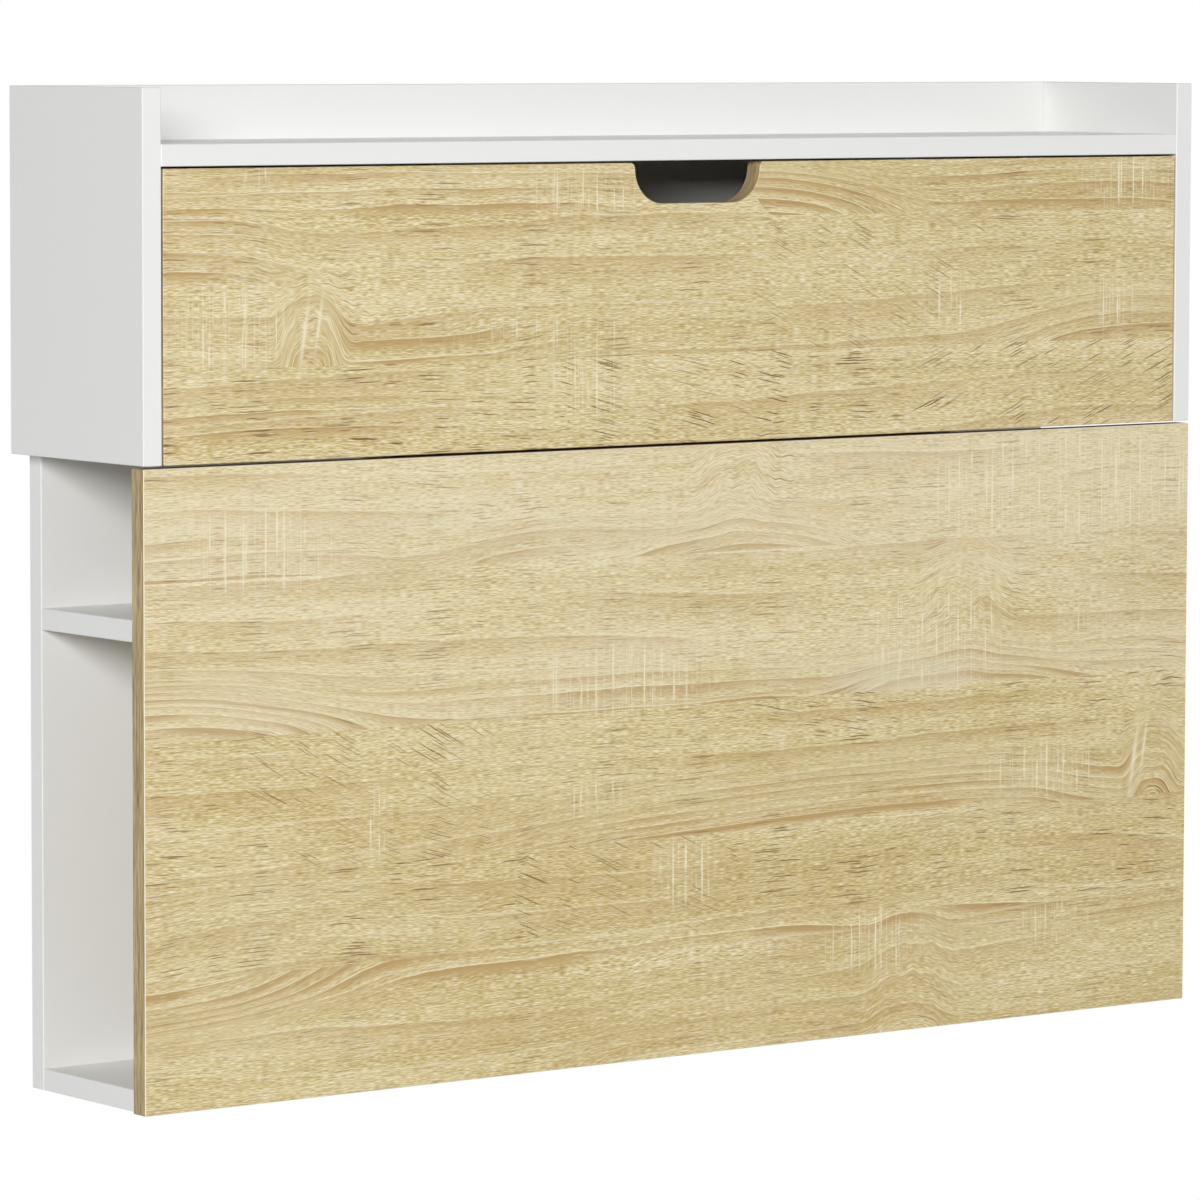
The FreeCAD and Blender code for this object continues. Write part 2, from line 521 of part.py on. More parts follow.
# ---------------------------------------------------------------- stays with slotted guides
class StayPath:
    """Path of a stay's guide pin while its leaf turns a quarter turn and the arm swings at a steady ratio.

    The arm pivot rides on the leaf. The arm's angle back from upright grows in proportion to the leaf's, so
    the guide pin traces one curve, and the slot follows that curve.
    """

    ARCS = 4     # arcs along each flank of the slot
    FACETS = 4   # straight cuts along each side of the plate
    QUARTER_TURN = math.radians(90)

    def __init__(self, name, hinge, inner_face, ceiling):
        self.name = name
        self.hinge = hinge
        # the closed pin stays under the board above, and the open pin behind the leaf: that sets both lengths
        closed_rise = f"({ceiling} - {name}_stay_headroom - {hinge[1]})"
        open_reach = f"({inner_face} + {name}_stay_setback - {hinge[0]})"
        spread = f"(cos({name}_arm_closed) + sin({name}_arm_open))"
        self.arm_length = f"(({closed_rise} + {open_reach}) / {spread})"
        self.pivot_rise = f"({closed_rise} - {self.arm_length} * cos({name}_arm_closed))"
        self.pivot = (f"{inner_face} + {name}_stay_reach", f"{hinge[1]} + {self.pivot_rise}")
        self.pin = (f"{self.pivot[0]} + {self.arm_length} * sin({name}_arm_closed)",
                    f"{self.pivot[1]} + {self.arm_length} * cos({name}_arm_closed)")
        self.reach = value(f"{self.pivot[0]} - {hinge[0]}")
        self.height = value(self.pivot_rise)
        self.arm = value(self.arm_length)
        self.closed = math.radians(value(f"{name}_arm_closed"))
        self.open = math.radians(value(f"{name}_arm_open"))
        self.hinge_point = Vector(0, value(hinge[0]), value(hinge[1]))

    def point(self, share):
        """Give the pin's centre at a share of the swing, 0 closed and 1 open."""
        turn = share * self.QUARTER_TURN
        lean = self.closed + share * (self.open - self.closed)
        y = self.reach * math.cos(turn) - self.height * math.sin(turn) + self.arm * math.sin(lean)
        z = self.reach * math.sin(turn) + self.height * math.cos(turn) + self.arm * math.cos(lean)
        return self.hinge_point + Vector(0, y, z)

    def heading(self, share):
        """Give the direction of travel at a share of the swing."""
        turn = share * self.QUARTER_TURN
        lean = self.closed + share * (self.open - self.closed)
        rate = self.open - self.closed
        dy = -self.QUARTER_TURN * (self.reach * math.sin(turn) + self.height * math.cos(turn))
        dz = self.QUARTER_TURN * (self.reach * math.cos(turn) - self.height * math.sin(turn))
        travel = Vector(0, dy + self.arm * rate * math.cos(lean), dz - self.arm * rate * math.sin(lean))
        return travel.normalize()

    def end_expressions(self, share, way):
        """Give the middle of an end spacer as expressions: the pin's place there, moved on by the tail."""
        lean = (f"{self.name}_arm_closed", f"{self.name}_arm_open")[share]
        reach = f"({self.pivot[0]} - {self.hinge[0]})"
        start = ((reach, self.pivot_rise), (f"-{self.pivot_rise}", reach))[share]
        heading = self.heading(share) * way
        arm = self.arm_length
        return (f"({self.hinge[0]} + {start[0]} + {arm} * sin({lean}) + {heading.y} * guide_tail)",
                f"({self.hinge[1]} + {start[1]} + {arm} * cos({lean}) + {heading.z} * guide_tail)")

    def flank(self, side, half_width, steps):
        """Give points along one side of the path, at even shares of the swing."""
        shares = [step / steps for step in range(steps + 1)]
        return [self.point(share) + self.heading(share).cross(Vector(1, 0, 0)) * side * half_width
                for share in shares]

    def slot(self, half_width):
        """Make the face of the slot: curved flanks in tangent arcs, and round ends."""
        edges = []
        flanks = {side: self.flank(side, half_width, 2 * self.ARCS) for side in (-1, 1)}
        for points in flanks.values():
            edges += [Part.Arc(*points[start:start + 3]).toShape() for start in range(0, 2 * self.ARCS, 2)]
        for index, share, way in ((0, 0, -1), (-1, 1, 1)):
            crown = self.point(share) + self.heading(share) * way * half_width
            edges.append(Part.Arc(flanks[-1][index], crown, flanks[1][index]).toShape())
        return Part.Face(Part.Wire(Part.__sortEdges__(edges)))

    def plate(self, half_width, tail, clip):
        """Make the guide plate's face: straight cuts along the path, a tail at each end, clipped corners."""
        start, end = self.heading(0) * -1, self.heading(1)
        inset = 1 - clip / half_width
        outline = []
        for side, order in ((1, 1), (-1, -1)):
            points = self.flank(side, half_width, self.FACETS)
            ends = [self.flank(side, half_width * inset, 1)[index] + along * tail
                    for index, along in ((0, start), (1, end))]
            shoulders = [points[0] + start * (tail - clip), points[-1] + end * (tail - clip)]
            run = [ends[0], shoulders[0], *points[1:-1], shoulders[1], ends[1]]
            outline += run[::order]
        return Part.Face(Part.makePolygon(outline + outline[:1]))


def make_stay(path, mounting_face):
    """Make a left-hand stay: guide plate, spacers, arm, bracket, rivet and guide pin, and mirror each.

    The guide plate stands off the mounting face on two spacers. The arm lies beside it, and the bracket's ear
    beside the arm.
    """
    name = path.name
    guide_x = f"({mounting_face} + guide_standoff)"
    arm_x = f"({guide_x} + guide_thickness + stay_gap)"
    ear_x = f"({arm_x} + arm_thickness + stay_gap)"

    guide = doc.addObject("Part::Feature", f"{name}_guide")
    slot_half = value("guide_pin_radius + slot_clearance")
    thickness = Vector(value("guide_thickness"), 0, 0)
    plate_half = slot_half + value("guide_margin")
    plate = path.plate(plate_half, value("guide_tail") + plate_half, value("guide_clip")).extrude(thickness)
    guide.Shape = plate.cut(path.slot(slot_half).extrude(thickness))
    place(guide, guide_x)
    finish(guide, f"{name}_guide_left")
    finish(mirrored(guide), f"{name}_guide_right")

    blocks = []
    for share, way in ((0, -1), (1, 1)):
        block = doc.addObject("Part::Box", f"{name}_spacer")
        bind(block, "Length", "guide_standoff")
        bind(block, "Width", "spacer_size")
        bind(block, "Height", "spacer_size")
        middle = path.end_expressions(share, way)
        place(block, mounting_face, f"{middle[0]} - spacer_size / 2", f"{middle[1]} - spacer_size / 2")
        blocks.append(block)
    spacers = doc.addObject("Part::Compound", f"{name}_spacers")
    spacers.Links = blocks
    both_sides(f"{name}_guide_spacers", spacers)

    arm = new_body(f"{name}_arm")
    arm_sketch = new_sketch(arm, "x", arm_x)
    add_link_outline(arm_sketch, path.pivot, path.pin, "arm_half_width")
    pad(arm, arm_sketch, "arm_thickness")
    drill(arm, "x", arm_x, 1, [path.pivot], "rivet_radius + running_clearance", "arm_thickness")
    finish(arm, f"{name}_arm_left")
    finish(mirrored(arm), f"{name}_arm_right")

    pin_head = f"({guide_x} - stay_gap - pin_head_thickness)"
    shoulder = f"{arm_x} - {pin_head}"
    guide_pin = turned(f"{name}_guide_pin", (
        ("0", "0"), ("pin_head_radius", "0"), ("pin_head_radius", "pin_head_thickness"),
        ("guide_pin_radius", "pin_head_thickness"), ("guide_pin_radius", shoulder), ("0", shoulder)))
    pin_left = copies(f"{name}_guide_pin_left", guide_pin, "+x", [(pin_head, path.pin[0], path.pin[1])])
    finish(pin_left, f"{name}_guide_pin_left")
    finish(mirrored(pin_left), f"{name}_guide_pin_right")

    inner_face = f"({path.pivot[0]} - {name}_stay_reach)"
    bracket = new_body(f"{name}_bracket")
    foot_sketch = new_sketch(bracket, "x", ear_x)
    foot_top = f"{path.pivot[1]} + foot_rise"
    foot_bottom = f"{path.pivot[1]} - foot_rise"
    add_rectangle(foot_sketch, (inner_face, foot_bottom), (f"{inner_face} + foot_thickness", foot_top))
    pad(bracket, foot_sketch, "foot_width")
    ear_sketch = new_sketch(bracket, "x", ear_x)
    add_ear_outline(ear_sketch, inner_face, path.pivot, "ear_radius")
    pad(bracket, ear_sketch, "ear_thickness")
    drill(bracket, "x", ear_x, 1, [path.pivot], "rivet_radius", "ear_thickness")
    finish(bracket, f"{name}_bracket_left")
    finish(mirrored(bracket), f"{name}_bracket_right")

    rivet_length = "(pin_head_thickness + ear_thickness + stay_gap + arm_thickness)"
    rivet = turned(f"{name}_rivet", (
        ("0", "0"), ("pin_head_radius", "0"), ("pin_head_radius", "pin_head_thickness"),
        ("rivet_radius", "pin_head_thickness"), ("rivet_radius", rivet_length), ("0", rivet_length)))
    rivet_x = f"{ear_x} + ear_thickness + pin_head_thickness"
    both_sides(f"{name}_stay_rivets",
               copies(f"{name}_rivet_left", rivet, "-x", [(rivet_x, path.pivot[0], path.pivot[1])]))


make_stay(StayPath("desk", DESK_PIVOT, FRONT_INNER, SHELF_UNDER), f"-{DIVIDER_INNER}")
make_stay(StayPath("flap", (FLAP_PIVOT_Y, FLAP_PIVOT_Z), FRONT_INNER, TOP_BOARD_UNDER), f"-{CARCASS_END}")

# ---------------------------------------------------------------- magnetic catches and strike plates
MAGNET_FACE = f"({FRONT_INNER} + strike_thickness + catch_gap)"
DESK_CATCH_Z = f"({PANEL_HEAD} - desk_catch_drop)"
DESK_CATCH_X = f"(-{DIVIDER_INNER} + catch_width / 2)"
FLAP_CATCH_Z = f"({TOP_BOARD_UNDER} - catch_width / 2)"


def make_catch(name, centre_x, centre_z, width, height):
    """Make a left-hand catch housing with its magnet block and the strike plate that faces it."""
    housing = make_board(f"{name}_housing",
                         (f"{centre_x} - {width} / 2", f"{centre_x} + {width} / 2"),
                         (MAGNET_FACE, f"{MAGNET_FACE} + catch_length"),
                         (f"{centre_z} - {height} / 2", f"{centre_z} + {height} / 2"))
    mouth = new_sketch(housing, "y", MAGNET_FACE)
    magnet_low = (f"{centre_x} - magnet_size / 2", f"{centre_z} - magnet_size / 2")
    magnet_high = (f"{centre_x} + magnet_size / 2", f"{centre_z} + magnet_size / 2")
    add_rectangle(mouth, magnet_low, magnet_high)
    cut(housing, mouth, "magnet_depth", along_normal=False)
    both_sides(f"{name}_catches", housing)
    magnet = doc.addObject("Part::Box", f"{name}_magnet")
    bind(magnet, "Length", "magnet_size")
    bind(magnet, "Width", "magnet_depth")
    bind(magnet, "Height", "magnet_size")
    place(magnet, magnet_low[0], MAGNET_FACE, magnet_low[1])
    both_sides(f"{name}_magnets", magnet)
    strike = doc.addObject("Part::Box", f"{name}_strike")
    bind(strike, "Length", "strike_size")
    bind(strike, "Width", "strike_thickness")
    bind(strike, "Height", "strike_size")
    place(strike, f"{centre_x} - strike_size / 2", FRONT_INNER, f"{centre_z} - strike_size / 2")
    both_sides(f"{name}_strikes", strike)


make_catch("desk", DESK_CATCH_X, DESK_CATCH_Z, "catch_width", "catch_height")
make_catch("flap", "(-flap_catch_offset)", FLAP_CATCH_Z, "catch_height", "catch_width")

# ---------------------------------------------------------------- check all, then write one file per piece
doc.recompute()
for item in doc.Objects:
    if {"Invalid", "Error"} & set(item.State):
        raise RuntimeError(f"{item.Label} failed: {item.State}")
for node in nodes:
    if node.Shape.isNull() or not node.Shape.isValid() or not node.Shape.Solids:
        raise RuntimeError(f"{node.Label} has no sound solid")

os.makedirs("parts", exist_ok=True)
for node in nodes:
    node.Shape.exportStep(os.path.join("parts", f"{node.Label}.step"))
print(len(nodes), "pieces written")
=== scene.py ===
"""Finishes, small fittings and studio of a fold-down wall desk, laid out as an add-on.

The packed solids are loaded as the frame: metres, +X to the right, +Y into the wall, +Z up, with the origin
on the wall between the four wall fixings. Every operator dresses one group of pieces or adds one group of
fittings.
"""
import math
from collections import namedtuple

import bmesh
import bpy
from bpy.props import FloatProperty, FloatVectorProperty, PointerProperty
from mathutils import Matrix, Vector


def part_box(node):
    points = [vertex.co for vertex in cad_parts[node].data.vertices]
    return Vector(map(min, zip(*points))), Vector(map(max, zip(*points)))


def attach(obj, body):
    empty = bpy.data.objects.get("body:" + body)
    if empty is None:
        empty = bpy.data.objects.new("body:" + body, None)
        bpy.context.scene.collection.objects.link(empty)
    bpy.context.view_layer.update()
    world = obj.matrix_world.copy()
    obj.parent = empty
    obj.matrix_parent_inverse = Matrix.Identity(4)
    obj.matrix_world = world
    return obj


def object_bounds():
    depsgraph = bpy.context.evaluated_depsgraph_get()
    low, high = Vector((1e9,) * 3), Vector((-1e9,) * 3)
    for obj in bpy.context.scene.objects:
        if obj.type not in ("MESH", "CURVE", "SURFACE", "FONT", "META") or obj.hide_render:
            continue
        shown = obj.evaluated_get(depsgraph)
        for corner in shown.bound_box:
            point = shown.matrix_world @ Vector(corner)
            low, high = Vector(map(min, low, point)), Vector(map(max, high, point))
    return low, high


bl_info = {
    "name": "Fold-down wall desk",
    "version": (1, 0, 0),
    "blender": (4, 5, 0),
    "location": "3D View > Sidebar > Wall desk",
    "description": "Dresses a fold-down wall desk and adds its small fittings and a studio",
    "category": "Object",
}

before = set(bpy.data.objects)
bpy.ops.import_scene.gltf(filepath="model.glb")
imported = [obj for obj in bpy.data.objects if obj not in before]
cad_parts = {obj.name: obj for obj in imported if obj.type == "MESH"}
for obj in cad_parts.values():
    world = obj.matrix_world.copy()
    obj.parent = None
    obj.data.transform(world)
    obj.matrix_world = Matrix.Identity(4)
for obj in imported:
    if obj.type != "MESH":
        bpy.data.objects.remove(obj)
CAD_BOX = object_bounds()
MM = 0.001

MATERIAL_OF_SLOT = {}   # finished materials, by the record's slot name


# ---------------------------------------------------------------- colours
def linear(red, green, blue):
    """Give a colour written as it looks on screen, 0 to 255, as the linear values that shaders use."""
    def one(level):
        share = level / 255
        return share / 12.92 if share <= 0.04045 else ((share + 0.055) / 1.055) ** 2.4
    return one(red), one(green), one(blue)


def colour_property(name, description, red, green, blue):
    return FloatVectorProperty(name=name, description=description, subtype="COLOR", size=3, min=0, max=1,
                               default=linear(red, green, blue))


# ---------------------------------------------------------------- shader arithmetic
# A layer of smooth noise on a plane: its reach along and across, in millimetres where nothing else is said,
# its detail, its seed, and how strongly it shifts what it is added to.
Layer = namedtuple("Layer", "along across detail seed strength", defaults=(1,))
SEED_STEP = (37.3, 19.7)   # from one seed's stretch of the noise to the next, along and across


class Value:
    """One shader socket, which expressions turn into Math nodes."""

    def __init__(self, recipe, socket):
        self.recipe = recipe
        self.socket = socket

    def math(self, operation, *others):
        return self.recipe.math(operation, self, *others)

    def __add__(self, other):
        return self.math("ADD", other)

    def __sub__(self, other):
        return self.math("SUBTRACT", other)

    def __rsub__(self, other):
        return self.recipe.math("SUBTRACT", other, self)

    def __mul__(self, other):
        return self.math("MULTIPLY", other)

    def __truediv__(self, other):
        return self.math("DIVIDE", other)

    def __abs__(self):
        return self.math("ABSOLUTE")

    def __gt__(self, other):
        return self.math("GREATER_THAN", other)

    def __lt__(self, other):
        return self.math("LESS_THAN", other)

    __radd__ = __add__
    __rmul__ = __mul__

    def least(self, other):
        return self.math("MINIMUM", other)

    def most(self, other):
        return self.math("MAXIMUM", other)

    def clamped(self):
        return self.least(1).most(0)

    def rise(self, low, high):
        """Go smoothly from 0 at low to 1 at high."""
        return self.recipe.node("ShaderNodeMapRange", {"interpolation_type": "SMOOTHSTEP"},
                                {"Value": self, "From Min": low, "From Max": high})

    def swing(self, strength):
        """Give what a random field adds, which is nothing where the field is at its middle."""
        return strength * (self - 0.5)


class Recipe:
    """The node tree of a material or a world, written as expressions."""

    def __init__(self, owner):
        owner.use_nodes = True
        self.owner = owner
        self.tree = owner.node_tree
        self.tree.nodes.clear()

    def node(self, kind, settings=None, inputs=None, output=0):
        """Add a node, with its settings first, then its sockets, and give one of its outputs."""
        made = self.tree.nodes.new(kind)
        for name, setting in (settings or {}).items():
            if name == "stops":
                self.set_stops(made.color_ramp.elements, setting)
            else:
                setattr(made, name, setting)
        for key, given in (inputs or {}).items():
            if isinstance(given, Value):
                self.tree.links.new(given.socket, made.inputs[key])
            elif made.inputs[key].type == "RGBA":
                made.inputs[key].default_value = (*given, 1)
            else:
                made.inputs[key].default_value = given
        return Value(self, made.outputs[output])

    @staticmethod
    def set_stops(elements, stops):
        while len(elements) < len(stops):
            elements.new(1)
        for element, (position, colour) in zip(elements, stops):
            element.position = position
            element.color = (*colour, 1)

    def math(self, operation, *numbers):
        return self.node("ShaderNodeMath", {"operation": operation}, dict(enumerate(numbers)))

    def split(self, vector):
        """Give a vector's three numbers."""
        parts = self.node("ShaderNodeSeparateXYZ", inputs={"Vector": vector}).socket.node
        return [Value(self, socket) for socket in parts.outputs]

    def join(self, x, y, z=0):
        return self.node("ShaderNodeCombineXYZ", inputs={"X": x, "Y": y, "Z": z})

    def noise(self, place, reach, detail=2):
        """Give a smooth random field in space, mostly 0.3 to 0.7, from its reach along X, Y and Z."""
        scaled = [number / length for number, length in zip(place, reach)]
        return self.node("ShaderNodeTexNoise", {"noise_dimensions": "3D"},
                         {"Vector": self.join(*scaled), "Scale": 1, "Detail": detail})

    def layer(self, along, across, layer):
        """Give the smooth random field of a layer on a plane, mostly 0.3 to 0.7."""
        step_along, step_across = SEED_STEP
        where = self.join(along / layer.along + step_along * layer.seed,
                          across / layer.across + step_across * layer.seed)
        return self.node("ShaderNodeTexNoise", {"noise_dimensions": "2D"},
                         {"Vector": where, "Scale": 1, "Detail": layer.detail})

    def shift(self, along, across, layer):
        """Give what a layer adds."""
        return self.layer(along, across, layer).swing(layer.strength)

    def blend(self, share, first, second, way="MIX"):
        """Mix two colours, or lay the second on the first in another way."""
        return self.node("ShaderNodeMix", {"data_type": "RGBA", "blend_type": way},
                         {0: share, 6: first, 7: second}, output=2)

    def tinted(self, colour, level):
        """Darken or lighten a colour by a level, where 1 leaves it as it is."""
        return self.blend(1, colour, self.join(level, level, level), "MULTIPLY")

    def bump(self, height, distance, strength=1):
        return self.node("ShaderNodeBump", inputs={"Height": height, "Distance": distance,
                                                   "Strength": strength})

    def surface(self, **sockets):
        """Finish a material with one Principled shader."""
        named = {key.replace("_", " "): given for key, given in sockets.items()}
        return self.finish(self.node("ShaderNodeBsdfPrincipled", inputs=named))

    def finish(self, shader, kind="ShaderNodeOutputMaterial"):
        """Lead a shader to the output, and give what the node tree belongs to."""
        end = self.tree.nodes.new(kind)
        self.tree.links.new(shader.socket, end.inputs["Surface"])
        return self.owner

    def coordinates(self):
        """Give the place in millimetres and the facing, both in the desk's own frame."""
        source = self.node("ShaderNodeTexCoord", output="Object").socket.node
        place = self.node("ShaderNodeVectorMath", {"operation": "SCALE"},
                          {0: Value(self, source.outputs["Object"]), "Scale": 1 / MM})
        return self.split(place), self.split(Value(self, source.outputs["Normal"]))


def new_recipe(name):
    """Start a material."""
    return Recipe(bpy.data.materials.new(name))


def total(parts):
    """Add up expressions and numbers."""
    result, *others = parts
    for part in others:
        result = result + part
    return result


def strongest(parts):
    """Give the greatest of several expressions at each place."""
    result, *others = parts
    for part in others:
        result = result.most(part)
    return result


# ---------------------------------------------------------------- what a user would change
class BoardLook(bpy.types.PropertyGroup):
    """White melamine faced boards."""

    colour: colour_property("Colour", "White of the boards", 240, 240, 238)
    roughness: FloatProperty(name="Roughness", description="Sheen of the melamine", default=0.42, min=0,
                             max=1)
    emboss: FloatProperty(name="Emboss", description="Depth of the fine pressed texture", default=0.05 * MM,
                          min=0, unit="LENGTH")


class OakLook(bpy.types.PropertyGroup):
    """Sawn oak laminate of the flap and the desk panel."""

    darkest: colour_property("Darkest", "Darkest hairs of the grain", 180, 156, 98)
    dark: colour_property("Dark", "Dark hairs of the grain", 203, 181, 125)
    middle: colour_property("Middle", "Body colour", 217, 199, 147)
    pale: colour_property("Pale", "Pale hairs of the grain", 229, 214, 170)
    palest: colour_property("Palest", "Flecks and saw marks", 244, 235, 204)
    late_wood: colour_property("Late wood", "Brown side of the rings", 187, 156, 101)
    pore: colour_property("Pore", "Pore dashes", 128, 98, 54)
    greyed: colour_property("Greyed", "Grey patches", 222, 210, 180)
    edge: colour_property("Edge", "Edge band", 177, 155, 113)
    # Edge line: a near-white painted highlight on the panel's broken edges, standing in for the light that
    # the chamfer catches
    edge_highlight: colour_property("Edge line", "Broken edge between face and edge band", 240, 232, 208)
    roughness: FloatProperty(name="Roughness", description="Sheen of the laminate", default=0.5, min=0,
                             max=1)
    relief: FloatProperty(name="Relief", description="Depth of the pressed pores", default=0.04 * MM, min=0,
                          unit="LENGTH")


class FittingLook(bpy.types.PropertyGroup):
    """Steel, plastic, nylon and magnets."""

    zinc: colour_property("Zinc", "Zinc plated steel", 168, 171, 176)
    plastic: colour_property("Plastic", "Catch housings", 236, 236, 234)
    nylon: colour_property("Nylon", "Pivot bushes", 176, 177, 180)
    magnet: colour_property("Magnet", "Magnet blocks", 74, 74, 78)


class FittingSizes(bpy.types.PropertyGroup):
    """Screws and connectors that are too small for the solids."""

    hinge_length: FloatProperty(name="Hinge length", description="Along the hinge line", default=72 * MM,
                                unit="LENGTH")
    leaf_thickness: FloatProperty(name="Leaf thickness", description="Hinge leaf", default=2 * MM,
                                  unit="LENGTH")
    screw_radius: FloatProperty(name="Screw radius", description="Head of a small screw", default=3.4 * MM,
                                unit="LENGTH")
    screw_dome: FloatProperty(name="Screw dome", description="Height of a pan head", default=1.2 * MM,
                              unit="LENGTH")
    flush_dome: FloatProperty(name="Flush dome", description="Height of a countersunk head",
                              default=0.2 * MM, unit="LENGTH")
    cam_radius: FloatProperty(name="Cam radius", description="Face of a cam lock", default=7.4 * MM,
                              unit="LENGTH")
    cam_setback: FloatProperty(name="Cam setback", description="Cam centre from the board's end",
                               default=34 * MM, unit="LENGTH")
    carcass_screw_radius: FloatProperty(name="Carcass screw", description="Head of a carcass screw",
                                        default=4.6 * MM, unit="LENGTH")


class StudioLook(bpy.types.PropertyGroup):
    """Camera, floor and soft light."""

    camera_place: FloatVectorProperty(name="Camera", description="Camera position", size=3,
                                      subtype="TRANSLATION", unit="LENGTH",
                                      default=(-2.8908, -3.9005, 0.3988))
    azimuth: FloatProperty(name="Azimuth", description="Turn of the view to the right of +Y",
                           subtype="ANGLE", default=math.radians(36.92))
    elevation: FloatProperty(name="Elevation", description="Tilt of the view below the horizon",
                             subtype="ANGLE", default=math.radians(4.94))
    roll: FloatProperty(name="Roll", description="Turn of the picture", subtype="ANGLE",
                        default=math.radians(0.152))
    lens: FloatProperty(name="Lens", description="Focal length in mm on a 36 mm sensor", default=198.75)
    desk_height: FloatProperty(name="Desk height", description="Floor below the open desk top",
                               default=725 * MM, unit="LENGTH")
    floor_radius: FloatProperty(name="Floor radius", description="Round floor under the desk", default=2.6,
                                unit="LENGTH")
    sky: FloatProperty(name="Sky", description="Strength of the white sky", default=0.18, min=0)
    side_lamp: FloatProperty(name="Side lamp", description="Power in watts", default=336, min=0)
    front_lamp: FloatProperty(name="Front lamp", description="Power in watts", default=25, min=0)
    rear_lamp: FloatProperty(name="Rear lamp", description="Power in watts", default=90, min=0)


# ---------------------------------------------------------------- white melamine
def melamine(look):
    """Make white faced board: nearly flat white with a faint cloud and a fine pressed texture."""
    r = new_recipe("white_melamine")
    place, _ = r.coordinates()
    cloud = r.noise(place, reach=(160, 160, 190), detail=3)
    fibre = r.noise(place, reach=(5, 5, 60))
    grit = r.noise(place, reach=(1.1, 1.1, 1.1))
    level = 0.99 + cloud.swing(0.03) + fibre.swing(0.012) + grit.swing(0.012)
    return r.surface(Base_Color=r.tinted(look.colour, level), Roughness=look.roughness + grit.swing(0.12),
                     IOR=1.48, Normal=r.bump(0.6 * grit + 0.4 * fibre, look.emboss))


# ---------------------------------------------------------------- sawn oak laminate
# A plank of the laminate's pattern. All numbers are in millimetres in the desk's frame: low is its lower
# edge, slope its grain's climb to the right, tone how pale it is, grey how greyed, dashes how strong its
# pore dashes are. Its swells are places where the grain is lifted, leans or shows rings.
Plank = namedtuple("Plank", "low slope tone grey dashes swells")
# A swell: centre x and z, reach along x and z, lift of the grain, climb of its dashes to the right, and
# strength of its rings.
Swell = namedtuple("Swell", "x z reach_x reach_z lift climb rings")

PLANKS = (
    Plank(-400, 0.01, -0.06, 0.0, 0.5, (
        Swell(-485, -247, 175, 38, -52, 0, 1.0),
        Swell(-100, -249, 340, 17, 7, 0, 0.8),
        Swell(330, -252, 200, 20, -6, 0, 0.7),
        Swell(200, -300, 36, 60, 13, 0, 0.1),
        Swell(60, -335, 170, 40, 9, 0, 0.2),
    )),
    Plank(-247, 0.015, -0.08, 0.08, 1.0, (
        Swell(-60, -212, 110, 70, 0, -0.45, 0.0),
        Swell(-350, -225, 110, 50, 5, 0, 0.1),
        Swell(330, -200, 140, 40, 6, -0.06, 0.1),
    )),
    Plank(-178, 0.0, -0.02, 0.0, 0.9, (
        Swell(-270, -120, 130, 80, 0, -0.55, 0.0),
        Swell(130, -192, 350, 52, 46, 0, 1.0),
        Swell(437, -152, 24, 32, 26, 0, 0.4),
        Swell(395, -170, 60, 22, -10, 0, 0.6),
        Swell(120, -92, 130, 26, 0, -0.15, 0.0),
    )),
    Plank(-84, -0.01, 0.13, 0.3, 0.6, (
        Swell(-485, -84, 175, 44, 60, 0, 1.0),
        Swell(-90, -80, 260, 24, 12, 0, 0.8),
        Swell(252, -20, 36, 50, 14, 0, 0.1),
        Swell(245, -92, 105, 38, 36, 0, 1.0),
        Swell(400, -92, 90, 34, 12, 0, 0.9),
    )),
    Plank(24.5, 0.01, 0.2, 0.4, 0.6, (
        Swell(45, 16, 90, 34, 30, 0, 0.7),
        Swell(36, 84, 30, 44, 12, 0, 0.1),
        Swell(-410, 28, 130, 26, 6, 0, 0.9),
        Swell(-110, 30, 90, 24, 8, 0, 0.6),
        Swell(-260, 96, 150, 40, -4, -0.09, 0.0),
    )),
    Plank(103, 0.0, 0.02, -0.1, 1.3, (
        Swell(340, 132, 160, 70, 0, 0.4, 0.0),
        Swell(-20, 150, 120, 60, 0, -0.25, 0.0),
        Swell(-330, 130, 200, 18, 5, 0, 0.6),
    )),
    Plank(167.5, 0.005, 0.02, -0.3, 0.7, (
        Swell(-333, 188, 24, 32, 25, 0, 0.3),
        Swell(-270, 172, 150, 28, -9, 0, 0.8),
        Swell(165, 226, 130, 70, 0, -0.5, 0.0),
        Swell(420, 166, 120, 34, 30, 0, 0.6),
        Swell(-430, 250, 70, 30, 10, 0, 0.8),
        Swell(-230, 284, 220, 18, 6, 0, 0.8),
    )),
    Plank(264.5, 0.01, -0.02, -0.3, 0.6, (
        Swell(40, 262, 130, 40, 52, 0, 1.0),
        Swell(330, 280, 160, 22, 5, 0, 0.7),
    )),
)
HALF_SEAM = (20, 70, 50)   # the top seam climbs out of the flap left of this stretch, by this much
PLANK_SHIFT = 311          # between the stretches of grain that two neighbouring planks show
INNER_SHIFT = 377          # between the stretches of print that the outer and the inner faces show

# How the grain wanders up and down, in millimetres.
SWAY = Layer(260, 90, 1, 1, 7)
RIPPLE = Layer(60, 26, 0, 2, 2.2)
JITTER = Layer(9, 12, 0, 3, 0.5)
ZIGZAG_JITTER = 7          # the jitter's strength over the knots, on top of its own
# Zigzag grain over the knots: centre x and z, reach along x and z.
ZIGZAGS = ((-330, 214, 34, 26), (432, -124, 34, 28), (54, 78, 30, 30), (255, -14, 34, 34),
           (200, -290, 34, 34))

